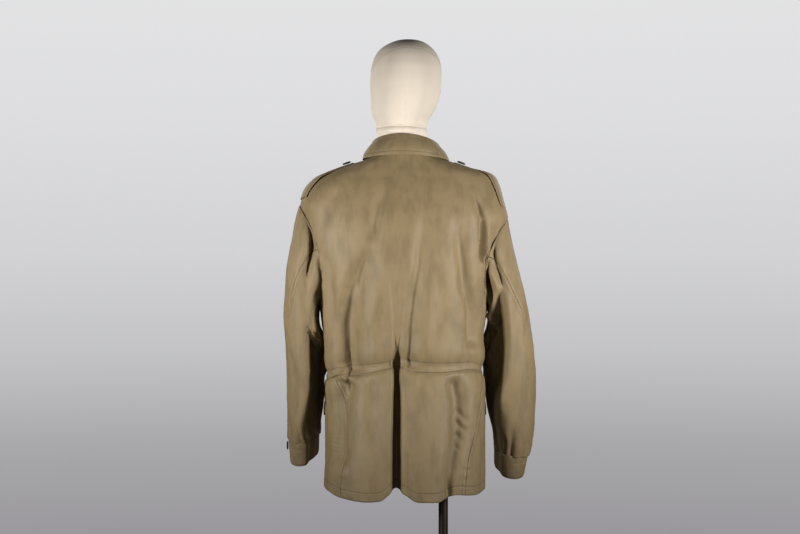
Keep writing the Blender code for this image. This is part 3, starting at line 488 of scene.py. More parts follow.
def sheet_piece(name, points, normals, thick, node, stitch=None, out=None, join=False):
    """A sheet through a grid of points, each moved `out` along its normal."""
    if out is not None:
        points = points + normals * out[..., None]
    rows, columns = points.shape[:2]
    bm = bmesh.new()
    bmesh.ops.create_grid(bm, x_segments=columns - 1, y_segments=rows - 1, size=1.0)
    mesh = bpy.data.meshes.new(name)
    bm.to_mesh(mesh)
    flat = np.empty(len(mesh.vertices) * 3)
    mesh.vertices.foreach_get("co", flat)
    flat = flat.reshape(-1, 3)
    span = flat[:, :2].max(axis=0) - flat[:, :2].min(axis=0)
    share = (flat[:, :2] - flat[:, :2].min(axis=0)) / span
    i = np.rint(share[:, 1] * (rows - 1)).astype(int)
    j = np.rint(share[:, 0] * (columns - 1)).astype(int)
    mesh.vertices.foreach_set("co", points[i, j].astype(np.float32).ravel())
    mark = mesh.attributes.new("stitch", "FLOAT", "POINT")
    mark.data.foreach_set("value", (stitch[i, j] if stitch is not None else 0 * i).astype(np.float32))
    across, up = lengths_along(points[rows // 2]), lengths_along(points[:, columns // 2])
    corner = np.empty(len(mesh.loops), int)
    mesh.loops.foreach_get("vertex_index", corner)
    layer = mesh.uv_layers.new(name="cloth_metres")
    flat_place = np.stack([across[j], up[i]], axis=-1)[corner]
    layer.data.foreach_set("uv", flat_place.astype(np.float32).ravel())
    mesh.update()
    bm.free()
    bm = bmesh.new()
    bm.from_mesh(mesh)
    if join:
        bmesh.ops.remove_doubles(bm, verts=bm.verts[:], dist=1e-6)
    bm.faces.ensure_lookup_table()
    toward = 0.0
    for face in list(bm.faces)[::max(1, len(bm.faces) // 60)]:
        away = points.reshape(-1, 3) - np.array(face.calc_center_median())
        near = np.linalg.norm(away, axis=-1).argmin()
        toward += float(np.dot(np.array(face.normal), normals.reshape(-1, 3)[near]))
    if toward < 0:
        bmesh.ops.reverse_faces(bm, faces=bm.faces[:])
    bm.to_mesh(mesh)
    bm.free()
    for polygon in mesh.polygons:
        polygon.use_smooth = True
    made = added(name, mesh, SATEEN, node)
    shell = made.modifiers.new("cloth thickness", "SOLIDIFY")
    shell.thickness, shell.offset, shell.use_even_offset = thick, -1.0, False
    print(name, rows, "x", columns, "area", round(sheet_area(points), 4))
    return made


def sheet_area(points):
    a, b = points[1:, :-1] - points[:-1, :-1], points[:-1, 1:] - points[:-1, :-1]
    return float(np.linalg.norm(np.cross(a, b), axis=-1).sum())


def spaced(start, end, step, marks=(), near=(0.0, 0.0009, 0.0018, 0.003)):
    """Places from start to end about a step apart, closer round each mark."""
    places = list(np.linspace(start, end, max(2, int(round(abs(end - start) / step)) + 1)))
    for mark in marks:
        places += [mark + s * d for d in near for s in (-1, 1) if start <= mark + s * d <= end]
    places = sorted(set(round(p, 6) for p in places))
    kept = [places[0]]
    for p in places[1:]:
        if p - kept[-1] > 0.00055:
            kept.append(p)
    kept[-1] = end
    return np.array(kept)


print("places round a mark", spaced(0.0, 0.01, 0.005, (0.005,)))

# %% [markdown]
# ## Body panels
# The waist has a channel for a drawstring, sewn between two lines. The cloth above it blouses
# a little, the channel draws in, and short gathers run up and down from it. The hem is turned
# and stitched 19 mm up. Side seams are felled, so each pulls the cloth into fine ripples.

# %% Fine shaping of the body
HEM_STITCH = 0.019
BODY_LOW, BODY_STEP = 0.795, 0.0036
COLLAR_X = -0.0038


def neck_height(angle):
    """Where the body meets the collar stand, dropping to the throat at centre front."""
    heights = np.linspace(1.49, BODY_TOP, 60)
    spots = body_point(angle[..., None] + 0 * heights, heights + 0 * angle[..., None])
    x, y = spots[..., 0] - COLLAR_X, spots[..., 1]
    wider = np.hypot(x / 0.08, y / np.where(y > 0, 0.063, 0.076)) > 1
    found = np.clip(wider.sum(axis=-1), 0, 59)
    at = np.take_along_axis(spots, found[..., None, None], axis=-2)[..., 0, :]
    from_front = np.degrees(np.arctan2(np.abs(at[..., 0]), -at[..., 1]))
    return np.minimum(heights[found], 1.498 + 0.0515 * ease((from_front - 25) / 30))


def body_heights(rows, angle):
    """Grid heights: the hem's waves, the channel's line and the neckline are worked in."""
    z = np.array(rows)[:, None] + 0 * angle
    cosine = np.cos(np.radians(angle))
    x = body_point(angle, np.full_like(z, 0.83))[..., 0]
    back_hem = curve(x, HEM, "x", "z")
    blend = np.abs(cosine) ** 0.6
    hem = np.where(cosine > 0, back_hem, 0.803 + (back_hem - 0.803) * (1 - blend))
    z = z + (hem - rows[0]) * (1 - ease((z - rows[0] - 0.03) / 0.16))
    turn = (angle + 180) % 360 - 180
    low, high = curve(turn, CHANNEL, "angle", "low"), curve(turn, CHANNEL, "angle", "high")
    near = 1 - ease((np.abs(np.array(rows)[:, None] - WAIST_Z) - 0.02) / 0.1)
    z = z + ((low + high) / 2 - WAIST_Z) * near
    neck = neck_height(angle) - NECK_Z
    return z + neck * ease((z - 1.41) / (NECK_Z - 1.41))


def body_fine(angle, z, points, edge_distance):
    """Outward move of the fine shaping, and the thread lines' strength."""
    turn = (angle + 180) % 360 - 180
    low, high = curve(turn, CHANNEL, "angle", "low"), curve(turn, CHANNEL, "angle", "high")
    middle, along = (low + high) / 2, turn * 0.0027
    x = points[..., 0]
    fold_x = curve(z, DEEP_FOLD, "z", "x")
    lips = 1 - 0.9 * bump(np.where(np.abs(turn) < 90, x - fold_x, 1.0), 0.015)
    out = 0.003 * bump(z - middle - 0.034, 0.022) - 0.0042 * bump(z - middle - 0.001, 0.013)
    out += 0.0018 * bump(z - middle + 0.034, 0.024)
    # the lower edge of the channel is a hard crease with the skirt tucked under it
    out -= 0.0022 * bump(z - low + 0.0018, 0.0026) * lips
    out += 0.001 * bump(z - low - 0.003, 0.003) * lips
    out -= 0.0007 * bump(z - high, 0.0012) * lips
    strength = 0.55 + 0.45 * noise(along * 22, 0 * z + 3.3, 5)
    strength = strength + 1.4 * bump(turn + 47, 4.0) + 0.9 * bump(turn - 46, 9.0) + 0.5 * bump(turn + 14, 6)
    waves = noise(along * 165 + 0.4 * noise(along * 30, z * 25, 8), z * 14, 11)
    out += 0.0014 * waves * strength * bump(z - middle, 0.014) * lips
    gathers = noise(along * 85 + 0.5 * noise(along * 20, z * 12, 9), z * 5, 12)
    out += 0.0018 * gathers * strength * bump(z - middle - 0.01, 0.04) * lips
    # seams pull the cloth into short ripples across them
    seam_pull = np.exp(-edge_distance / 0.012)
    out += 0.001 * noise(z * 150, edge_distance * 60, 21) * seam_pull
    out -= 0.0006 * bump(edge_distance, 0.0016)
    out += 0.0005 * ease((0.009 - edge_distance) / 0.002)
    # hem
    above = z - z[0:1]
    out -= 0.0006 * bump(above - HEM_STITCH, 0.0013)
    out += 0.0006 * noise(along * 120, above * 60, 31) * ease((HEM_STITCH + 0.004 - above) / 0.01)
    # broad hang and slight creasing all over
    out += 0.0016 * noise(along * 14, z * 9, 41) * lips + 0.0006 * noise(along * 42, z * 26, 42) * lips
    out += 0.00028 * noise(along * 130, z * 90, 43)
    left_wrinkles = bump(x - 0.146, 0.012) * bump(z - 0.905, 0.03) * (points[..., 1] > 0)
    out += 0.001 * np.sin(z * 2 * math.pi / 0.0088 + 3 * noise(x * 60, z * 20, 45)) * left_wrinkles
    line = np.maximum(bump(z - low, 0.0016), bump(z - high, 0.0009))
    line = np.maximum(line, bump(above - HEM_STITCH, 0.0009))
    line = np.maximum(line, 0.8 * bump(edge_distance - 0.0075, 0.0008))
    return out, line


def panel(name, angles_at, is_front, node, lift=None):
    angles = np.array([angles_at(z) for z in body_rows])
    heights = body_heights(body_rows, angles)
    points, normals = body_patch(angles, heights)
    steps = np.linalg.norm(np.diff(points, axis=1), axis=-1)
    arc = np.concatenate([np.zeros((len(steps), 1)), np.cumsum(steps, axis=1)], axis=1)
    edge = arc if is_front else np.minimum(arc, arc[:, -1:] - arc)
    out, line = body_fine(angles, heights, points, edge)
    if lift is not None:
        out = out + lift(points)
        line = np.maximum(line, bump(arc[:, -1:] - arc - 0.008, 0.0009))
    sheet_piece(name, points, normals, CLOTH, node, line, out)


def angle_at_x(x, z, front):
    share = np.clip(np.abs(x) / half_width(np.sign(x) + 0 * z, z), 0, 1)
    turn = np.degrees(np.arcsin(share ** (SQUARENESS / 2))) * np.sign(x)
    return 180.0 - turn if front else turn


def edge_angle(z, side, face):
    seam = curve(z, SIDE_SEAM, "z", "left" if side > 0 else "right")
    t = (z - UNDERARM_Z) / (TIP_Z[side] - UNDERARM_Z)
    hole = curve(t, ARMHOLE, "t", face)
    if face == "front":
        hole = 180.0 - hole
    return float(np.where(z < UNDERARM_Z, seam, np.where(t > 1, 90.0, hole)))


def back_angles(z):
    gap = 0.1
    left, right = edge_angle(z, 1, "back") - gap, edge_angle(z, -1, "back") - gap
    fold_x, half = curve(z, DEEP_FOLD, "z", "x"), curve(z, DEEP_FOLD, "z", "half")
    near = [float(angle_at_x(fold_x + k * half, z, False)) for k in np.linspace(-2.2, 2.2, 31)]
    low = -right + (near[0] + right) * EDGE_SHARE[:-1]
    high = near[-1] + (left - near[-1]) * (1 - EDGE_SHARE[::-1])[1:]
    return np.concatenate([low, near, high])


EDGE_SHARE = np.concatenate([[0.0, 0.004, 0.009, 0.016, 0.026, 0.038], np.linspace(0.05, 1.0, 50)])


def front_angles(z, side):
    start = edge_angle(z, side, "front") + 0.1
    end = float(angle_at_x(np.array(-side * FRONT_OVERLAP), z, True))
    end = end if side > 0 else 360.0 - end
    return (start + (end - start) * EDGE_SHARE) * side


body_marks = (BODY_LOW + HEM_STITCH, WAIST_Z - 0.01, WAIST_Z + 0.01)
body_rows = spaced(BODY_LOW, NECK_Z, BODY_STEP, body_marks)
panel("back_panel", back_angles, False, "back")
# The left front laps over the right one.
panel("front_panel_left", lambda z: front_angles(z, 1), True, "front_left",
      lambda p: FRONT_LIFT * ease((0.075 - p[..., 0]) / 0.04))
panel("front_panel_right", lambda z: front_angles(z, -1), True, "front_right")

# %% [markdown]
# ## Sleeves
# A two-piece sleeve. Its first ring is the armhole's own edge; lower rings are flattened ovals
# in the pose the arm hangs. Round the sleeve, one degree is close to one millimetre, so creases
# are placed by angle and by distance down it. The underarm bunches and the long hollow on the
# inner side are what an empty sleeve does when it has been worn. Two short rows above the
# armhole tuck the sleeve's edge under the body, as a turned seam does.

# %% Sleeve surface
SLEEVE_LENGTH = 0.5
# The same few creases lie on the inner, front side of both sleeves.
INNER_CREASES = (
    (((250, 60), (262, 150), (250, 230)), 12, 16, 8, (0.3, 0.4)),
    (((220, 190), (300, 205)), 8, 10, 6, (0.3, 0.3)),
    (((210, 225), (290, 240)), 7, 9, 5, (0.3, 0.3)),
    (((330, 120), (325, 300)), 14, 14, 4, (0.4, 0.4)))
SLEEVE_CREASES = {
    1: table(
        CREASE,
        (((180, 110), (182, 300)), 30, 40, -9, (0.3, 0.3)),
        (((50, 12), (74, 30), (86, 65), (90, 110)), 10, 9, 20, (0.3, 0.35)),
        (((108, 20), (112, 90), (120, 150)), 10, 10, -6, (0.3, 0.3)),
        (((132, 30), (134, 120), (128, 170)), 8, 8, 7, (0.3, 0.3)),
        (((160, 160), (120, 172)), 5, 6, 8, (0.2, 0.4)),
        (((100, 178), (130, 196), (160, 216)), 7, 7, -6, (0.3, 0.1)),
        (((150, 250), (158, 330), (150, 420)), 8, 10, -5, (0.3, 0.3)),
        (((20, 190), (60, 205)), 6, 9, 4, (0.4, 0.4)),
        (((14, 214), (52, 222)), 5, 7, 3, (0.4, 0.4)),
        (((30, 180), (20, 110), (10, 50)), 12, 14, 3, (0.3, 0.3)),
        (((58, 260), (64, 340), (56, 430)), 10, 10, 3, (0.4, 0.3)),
        (((30, 400), (44, 450), (40, 500)), 7, 8, 3.5, (0.4, 0.0)),
        (((78, 430), (86, 500)), 6, 8, 3, (0.4, 0.0)),
        *INNER_CREASES),
    -1: table(
        CREASE,
        (((180, 110), (182, 260)), 26, 40, -7, (0.3, 0.3)),
        (((30, 0), (56, 3), (78, 8)), 7, 7, 11, (0.3, 0.3)),
        (((108, 10), (128, 50), (140, 90)), 13, 13, 22, (0.25, 0.3)),
        (((68, 22), (80, 65), (90, 125)), 4.5, 9, 10, (0.25, 0.35)),
        (((98, 30), (100, 110)), 7, 6, -5.5, (0.3, 0.3)),
        (((172, 85), (130, 128), (100, 160)), 7, 7, -8, (0.15, 0.3)),
        (((172, 115), (132, 156), (112, 190)), 6, 7, 11, (0.15, 0.3)),
        (((172, 150), (146, 186)), 6, 6, -7, (0.2, 0.3)),
        (((142, 200), (136, 262)), 5, 6, -8, (0.3, 0.4)),
        (((164, 250), (146, 315)), 5.5, 6, -7, (0.3, 0.4)),
        (((60, 120), (72, 220), (70, 330)), 12, 14, 3, (0.3, 0.4)),
        (((94, 390), (98, 450), (100, 500)), 6, 10, 6, (0.5, 0.0)),
        (((60, 430), (70, 500)), 8, 8, 3.5, (0.4, 0.0)),
        (((118, 420), (122, 500)), 5, 7, 3.5, (0.4, 0.0)),
        (((10, 215), (50, 225)), 6, 9, 3, (0.4, 0.4)),
        *INNER_CREASES),
}


def spread_rows(rows):
    """The rows again, with `v` running from 0 at the first to 1 at the last."""
    return table("v " + ARM, *((i / (len(rows) - 1), *row) for i, row in enumerate(rows)))


PLACES = {side: spread_rows(SLEEVE[side]) for side in (1, -1)}


def armhole_point(angle, side):
    t = (1 + np.cos(np.radians(angle))) / 2
    z = UNDERARM_Z + (TIP_Z[side] - UNDERARM_Z) * t
    behind = np.sin(np.radians(angle)) >= 0
    turn = np.where(behind, curve(t, ARMHOLE, "t", "back"), 180 - curve(t, ARMHOLE, "t", "front"))
    return body_point(turn * side, z)


def tube_point(angle, v, side, places):
    value = {name: curve(v, places, "v", name) for name in ARM.split()}
    cosine, sine = np.cos(np.radians(angle)), np.sin(np.radians(angle))
    across = (1 + signed_power(cosine, 0.9)) / 2
    x = value["x_in"] + (value["x_out"] - value["x_in"]) * across
    z = value["z_in"] + (value["z_out"] - value["z_in"]) * across
    y = value["depth"] * signed_power(sine, 0.9)
    turn = angle % 360
    fall = ease((turn - value["ridge"]) / RIDGE_WIDTH) * value["hollow"]
    fall = fall + (value["tuck"] - value["hollow"]) * ease((turn - 140) / 40)
    y = y - fall * (1 - ease((turn - 180) / 65))
    return np.stack([side * x, y + value["mid_y"], z - value["tilt"] * y], axis=-1)


def sleeve_point(angle, v, side):
    point = tube_point(angle, v, side, PLACES[side])
    hole = armhole_point(angle, side)
    inward = np.array([side * 0.205, 0.004, (UNDERARM_Z + TIP_Z[side]) / 2]) - hole
    hole = hole + inward / np.linalg.norm(inward, axis=-1, keepdims=True) * 0.0012
    hole[..., 0] += side * 0.5 * np.minimum(v, 0.0)
    share = ease(v / 0.27)[..., None]
    return hole * (1 - share) + point * share


def sleeve_normals(angle, v, side):
    around = sleeve_point(angle + 0.4, v, side) - sleeve_point(angle - 0.4, v, side)
    down = sleeve_point(angle, np.minimum(v + 0.006, 1.0), side) - sleeve_point(angle, v - 0.006, side)
    normal = np.cross(down, around) * side
    return normal / np.linalg.norm(normal, axis=-1, keepdims=True)


def sleeve_fine(angle, v, side, edge_distance):
    turn, down = angle % 360, v * SLEEVE_LENGTH
    u = turn * 0.001
    out = -crease_field(u, down, SLEEVE_CREASES[side])
    wrap = np.where(u > 0.3, u - 0.36, u)
    over = [crease for crease in SLEEVE_CREASES[side] if crease.path[0][0] < 60]
    out -= crease_field(wrap, down, over) * (u > 0.3)
    seed = 60 if side > 0 else 80
    out += 0.0016 * noise(u * 16, down * 12, seed) + 0.0008 * noise(u * 45, down * 30, seed + 1)
    out += 0.0003 * noise(u * 130, down * 90, seed + 2)
    out += 0.0011 * noise(u * 110, down * 12, seed + 3) * ease((down - 0.455) / 0.045)
    pull = np.exp(-edge_distance / 0.01)
    out += 0.0009 * noise(down * 150, edge_distance * 60, seed + 4) * pull
    out -= 0.0006 * bump(edge_distance, 0.0016)
    out += 0.0005 * ease((0.009 - edge_distance) / 0.002)
    head = np.exp(-down / 0.01)
    out += 0.0008 * noise(u * 140, down * 50, seed + 5) * head - 0.0007 * bump(down, 0.002)
    line = np.maximum(0.8 * bump(edge_distance - 0.0075, 0.0008), 0.6 * bump(down - 0.007, 0.0009))
    return out, line


v_rows = np.concatenate([[-0.01, -0.004], spaced(0.0, 1.0, 0.0072, (0.012,), (0.0, 0.002, 0.004))])
for side, word in ((1, "left"), (-1, "right")):
    for part, count in (("upper", 76), ("under", 56)):
        v = v_rows[:, None]
        hind, fore = curve(v, SLEEVE_SEAM, "v", "hind"), curve(v, SLEEVE_SEAM, "v", "fore")
        start, end = (fore + 0.25, hind + 359.75) if part == "upper" else (hind + 0.25, fore - 0.25)
        share = np.linspace(0, 1, count - 8)
        share = np.sort(np.concatenate([share, [0.004, 0.009, 0.02, 0.03, 0.97, 0.98, 0.991, 0.996]]))
        angle = start + (end - start) * share[None, :]
        places = v + 0 * angle
        points, normals = sleeve_point(angle, places, side), sleeve_normals(angle, places, side)
        arc = (angle - start) * 0.001
        edge = np.minimum(arc, (end - angle) * 0.001)
        out, line = sleeve_fine(angle, places, side, edge)
        piece = f"sleeve_{word}_{part}"
        sheet_piece(piece + "_piece", points, normals, CLOTH, piece, line, out)

# %% [markdown]
# ## Cuffs
# A plain band sewn double to each sleeve's end, with the sleeve's fullness eased into it. Its
# top edge runs up inside the sleeve.

# %% Cuffs
for side, word in ((1, "left"), (-1, "right")):
    places = spread_rows(CUFF[side])
    below = spaced(0.0, 1.0, 0.045, (0.06, 0.94), (0.0, 0.02, 0.04))
    v = np.concatenate([[-0.12, -0.06], below])[:, None]
    angle = np.linspace(0, 360, 145)[None, :] + 0 * v
    v = v + 0 * angle
    points = tube_point(angle, v, side, places)
    around = tube_point(angle + 0.4, v, side, places) - tube_point(angle - 0.4, v, side, places)
    normals = np.stack([around[..., 1], -around[..., 0], 0 * around[..., 0]], axis=-1) * side
    normals /= np.linalg.norm(normals, axis=-1, keepdims=True)
    u = (angle % 360) * 0.001
    ring = np.minimum(v, 1 - v)
    closed = ease(angle / 12) * ease((360 - angle) / 12)
    out = (0.0006 * noise(u * 90, v * 3, 91) + 0.0014 * noise(u * 22, v * 1.2, 92)) * closed
    out -= 0.0005 * bump(ring - 0.06, 0.02) + 0.0012 * (bump(1 - v, 0.05) + bump(v, 0.05))
    out -= 0.001 * bump(v - 0.25, 0.05) * bump(angle - 60, 30)
    tucked = np.maximum(-v, 0.0)
    points[..., 2] += 0.045 * tucked
    out -= 0.012 * tucked
    line = bump(ring - 0.07, 0.02)
    sheet_piece(f"cuff_{word}_band", points, normals, DOUBLE, f"cuff_{word}", line, out, join=True)

# %% [markdown]
# ## Collar
# The stand rises from inside the neckline. The fall rolls over it and comes down to the yoke,
# with a row of stitching a fifth of the way up from its edge.

# %% Collar stand and fall
# The tip raises a ring's left side above its right.
ROLL, LOWER, STAND_FOOT = table(
    "half back front z_back z_side z_front tip",
    (0.0728, 0.0665, 0.072, 1.585, 1.569, 1.542, 0.055),
    (0.095, 0.0815, 0.11, 1.5385, 1.5325, 1.486, 0.02),
    (0.0785, 0.0605, 0.0725, 1.53, 1.523, 1.495, 0.01))
ROLL_R = 0.003
STITCH_AT = 0.8


def ring_point(angle, ring):
    sine, cosine = np.sin(np.radians(angle)), np.cos(np.radians(angle))
    depth = np.where(cosine >= 0, ring.back, ring.front)
    end = np.where(cosine >= 0, ring.z_back, ring.z_front)
    x = COLLAR_X + ring.half * signed_power(sine, 0.92)
    z = ring.z_side + (end - ring.z_side) * np.abs(cosine) ** 1.6 + ring.tip * x
    return np.stack([x, depth * signed_power(cosine, 0.92), z], axis=-1)


turns = np.linspace(-171.0, 171.0, 172)
foot, roll, lower = (ring_point(turns, ring) for ring in (STAND_FOOT, ROLL, LOWER))
outward = np.stack([np.sin(np.radians(turns)), np.cos(np.radians(turns)), 0 * turns], axis=-1)
up = np.array([0.0, 0.0, 1.0])
stand_top = roll - outward * 0.0055 - up * 0.0035
stand = np.stack([foot + (stand_top - foot) * s for s in np.linspace(0, 1, 14)])
sheet_piece("collar_stand_piece", stand, outward[None] + 0 * stand, 0.0016, "collar_stand")
rows, line = [], []
for turn in np.linspace(-2.2, 0.9, 9):
    out, rise = (ROLL_R * trig(turn) - 0.0012 for trig in (math.sin, math.cos))
    rows.append(roll + outward * out + up * rise)
    line.append(0 * turns)
for s in spaced(0.08, 1.0, 0.055, (STITCH_AT,), (0.0, 0.02, 0.04)):
    ripple = 0.001 * noise(turns / 9, 0 * turns + s * 3, 101)
    ripple += 0.0006 * noise(turns / 3, 0 * turns + s * 8, 102) * (s > 0.75)
    swell = 0.0045 * math.sin(math.pi * s) + 0.001 - 0.0006 * bump(s - STITCH_AT, 0.02)
    rows.append(roll + (lower - roll) * s + outward * (swell + ripple)[:, None] - up * 0.002 * (1 - s))
    line.append(bump(s - STITCH_AT, 0.022) + 0 * turns)
fall = np.array(rows)
sheet_piece("collar_fall_piece", fall, outward[None] + 0 * fall, 0.0018, "collar_fall", np.array(line))

# %% [markdown]
# ## Shoulder straps
# Each strap lies along the shoulder's top, sewn in at the sleeve head and buttoned by the
# collar. The outer half of its back edge stands off the shoulder, so a dark gap shows under it.

# %% Straps
STRAP = table(
    "share half middle lift",
    (0.0, 0.006, 0.004, 0.0016), (0.05, 0.013, 0.004, 0.0014), (0.16, 0.017, 0.005, 0.0012),
    (0.34, 0.019, 0.009, 0.0014), (0.52, 0.021, 0.013, 0.0024), (0.68, 0.023, 0.016, 0.0036),
    (0.8, 0.0245, 0.018, 0.0036), (0.9, 0.0255, 0.019, 0.003), (0.96, 0.026, 0.019, 0.0022),
    (1.0, 0.026, 0.019, 0.0014))
STRAP_START, STRAP_END = 0.112, {1: 0.2288, -1: 0.2262}


def shoulder_top(x, y, side):
    low, high = np.full_like(x, 1.38), np.full_like(x, BODY_TOP)
    for _ in range(40):
        z = (low + high) / 2
        a = half_width(side + 0 * x, z)
        b = np.where(y >= 0, curve(z, BODY, "z", "back"), curve(z, BODY, "z", "front"))
        inside = (np.abs(x) / a) ** SQUARENESS + (np.abs(y) / b) ** SQUARENESS < 1
        low, high = np.where(inside, z, low), np.where(inside, high, z)
    return np.stack([side * x, y, (low + high) / 2], axis=-1)


def strap_surface(share, across, side):
    y = curve(share, STRAP, "share", "half") * across + curve(share, STRAP, "share", "middle")
    x = STRAP_START + (STRAP_END[side] - 8.0 * y * y - STRAP_START) * share
    a = shoulder_top(x + 0.0006, y, side) - shoulder_top(x - 0.0006, y, side)
    b = shoulder_top(x, y + 0.001, side) - shoulder_top(x, y - 0.001, side)
    normal = np.cross(a, b) * side
    normal /= np.linalg.norm(normal, axis=-1, keepdims=True)
    lift = curve(share, STRAP, "share", "lift") + 0.0018 * ease(across) * ease((share - 0.45) / 0.2)
    return shoulder_top(x, y, side) + normal * lift[..., None], normal


for side, word in ((1, "left"), (-1, "right")):
    share = np.concatenate([np.linspace(0, 0.1, 9), np.linspace(0.12, 0.88, 38),
                            np.linspace(0.9, 1.0, 13)])
    across = np.concatenate([np.linspace(-1, 1, 25), [-0.86, -0.8, -0.74, 0.74, 0.8, 0.86]])
    share, across = np.meshgrid(share, np.sort(across), indexing="ij")
    points, normals = strap_surface(share, across, side)
    out = 0.0006 * noise(share * 7, across * 1.4, 111) - 0.0005 * bump(np.abs(across) - 0.8, 0.06)
    line = bump(np.abs(across) - 0.8, 0.05)
    sheet_piece(f"strap_{word}_piece", points, normals, DOUBLE, f"strap_{word}", line, out)

# %% [markdown]
# ## Hip pocket flaps and the waist tape
# The flaps lie on the front panels and stand off at their lower edge. The tape that holds the
# drawstring is inside the waist, one length each side of the deep fold.

# %% Flaps and tape
FOLD_CENTRE, TAPE_START, TAPE_DEPTH = 0.0165, 0.022, 0.009
for side, word in ((1, "left"), (-1, "right")):
    s = np.linspace(0, 1, 40)[None, :]
    t = spaced(0.0, 1.0, 0.045, (0.9,), (0.0, 0.02, 0.04))[:, None]
    angle = side * (101.0 + 32.0 * s) + 0 * t
    height = 1.032 - 0.067 * t - 0.01 * t * (1 - np.abs(2 * s - 1))
    points, normals = body_patch(angle, height)
    ring = np.minimum(np.minimum(1 - t, 0.9 * s), 0.9 * (1 - s))
    out = 0.003 + 0.0045 * ease(t) + 0.0012 * noise(s * 5, t * 3, 121) - 0.0005 * bump(ring - 0.1, 0.03)
    line = bump(ring - 0.1, 0.03)
    sheet_piece(f"flap_{word}_piece", points, normals, DOUBLE, f"flap_{word}", line, out)
    near = float(angle_at_x(np.array(FOLD_CENTRE + side * TAPE_START), np.array(WAIST_Z), False))
    angle = np.linspace(near, side * 172.0, 120)[None, :] + np.zeros((5, 1))
    low, high = curve(angle, CHANNEL, "angle", "low"), curve(angle, CHANNEL, "angle", "high")
    height = low + (high - low) * np.linspace(0, 1, 5)[:, None]
    points, normals = body_patch(angle, height)
    tape = f"waist_tape_{word}"
    sheet_piece(tape + "_piece", points - normals * TAPE_DEPTH, normals, 0.0008, tape)

# %% [markdown]
# ## Buttons
# Four-hole resin buttons, turned like the real ones: a low rim, a dished face and four thread
# holes with the thread crossing them. Six close the front, one holds each cuff and each strap.

# %% Buttons
HOLE_AT = 0.0017
STRAP_BUTTON_SINK = 0.002
PROFILE = ((0.0, 0.001), (0.0046, 0.0011), (0.006, 0.0018), (0.0072, 0.0021), (0.0088, 0.0019),
           (0.0095, 0.001), (0.0094, -0.0004), (0.0082, -0.0013), (0.0, -0.0013))


def turned(bm, profile, steps):
    """Spins a profile of (radius, height) pairs about the Z axis."""
    ring = [bm.verts.new((r, 0.0, z)) for r, z in profile]
    edges = [bm.edges.new(pair) for pair in zip(ring[:-1], ring[1:])]
    bmesh.ops.spin(bm, geom=ring + edges, cent=(0, 0, 0), axis=(0, 0, 1), angle=2 * math.pi, steps=steps)
    bmesh.ops.remove_doubles(bm, verts=bm.verts[:], dist=1e-6)
    bmesh.ops.recalc_face_normals(bm, faces=bm.faces[:])


def finished(name, bm, skin, node=None):
    mesh = bpy.data.meshes.new(name)
    bm.to_mesh(mesh)
    bm.free()
    for polygon in mesh.polygons:
        polygon.use_smooth = True
    return added(name, mesh, skin, node)


def button(name, node):
    """A button where the solid one is: its centre and face direction are read from the solid."""
    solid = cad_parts[node]
    points = np.array([solid.matrix_world @ v.co for v in solid.data.vertices])
    centre = points.mean(axis=0)
    _, _, axes = np.linalg.svd(points - centre)
    face = axes[2]
    away = np.array([0.0, 0.0, 1.0]) if abs(face[2]) > 0.8 else centre * np.array([1.0, 1.0, 0.0])
    face = face if np.dot(face, away) > 0 else -face
    bm = bmesh.new()
    if node.startswith("button_strap"):
        centre = centre - face * STRAP_BUTTON_SINK
    turned(bm, PROFILE, 40)
    turn = Vector((0, 0, 1)).rotation_difference(Vector(face)).to_matrix().to_4x4()
    middle = Vector(centre)
    for hx, hy in ((HOLE_AT * sx, HOLE_AT * sy) for sx in (-1, 1) for sy in (-1, 1)):
        made = bmesh.ops.create_circle(bm, cap_ends=True, segments=10, radius=0.00085)
        for vert in made["verts"]:
            vert.co = Vector((vert.co.x + hx, vert.co.y + hy, 0.00114))
    for vert in bm.verts:
        vert.co = turn @ vert.co + middle
    finished(name, bm, BUTTON, node)
    bm = bmesh.new()
    for sy in (-1, 1):
        part = bmesh.ops.create_uvsphere(bm, u_segments=10, v_segments=6, radius=0.0005)
        for vert in part["verts"]:
            x, y, z = vert.co
            vert.co = Vector((x * 5.2, y * 1.1 + HOLE_AT * sy, z * 1.2 + 0.00115))
    for vert in bm.verts:
        vert.co = turn @ vert.co + middle
    finished(name + "_thread", bm, THREAD)


button_nodes = sorted(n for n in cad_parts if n.startswith("button_"))
for node in button_nodes:
    button(node + "_turned", node)
print(len(button_nodes), "buttons")

# %% [markdown]
# ## Dress form
# Jersey is stretched over the torso and head, with a fine seam down the back of the neck and a
# separate crown patch. The torso has a hard lower edge; nothing of it shows below the jacket.

# %% Torso and head
FORM = "z half back front x"
TORSO = table(
    FORM,
    (0.868, 0.132, 0.062, 0.08, 0.0), (0.872, 0.146, 0.073, 0.092, 0.0),
    (0.885, 0.153, 0.079, 0.099, 0.0), (0.95, 0.155, 0.081, 0.101, 0.0),
    (1.01, 0.153, 0.08, 0.099, 0.0), (1.07, 0.149, 0.08, 0.093, 0.0), (1.15, 0.156, 0.087, 0.098, 0.0),
    (1.23, 0.168, 0.098, 0.106, 0.0), (1.3, 0.179, 0.104, 0.11, 0.0), (1.36, 0.193, 0.102, 0.106, 0.0),
    (1.405, 0.204, 0.094, 0.097, 0.0), (1.435, 0.206, 0.086, 0.089, 0.0),
    (1.46, 0.199, 0.078, 0.08, 0.0), (1.478, 0.186, 0.071, 0.073, 0.0),
    (1.493, 0.163, 0.064, 0.066, 0.0), (1.506, 0.128, 0.059, 0.062, 0.0),
    (1.518, 0.09, 0.056, 0.059, 0.0), (1.53, 0.068, 0.0545, 0.057, 0.001),
    (1.545, 0.059, 0.054, 0.056, 0.002), (1.565, 0.056, 0.055, 0.055, 0.003),
    (1.59, 0.0555, 0.058, 0.053, 0.0055), (1.602, 0.0555, 0.0605, 0.052, 0.006))
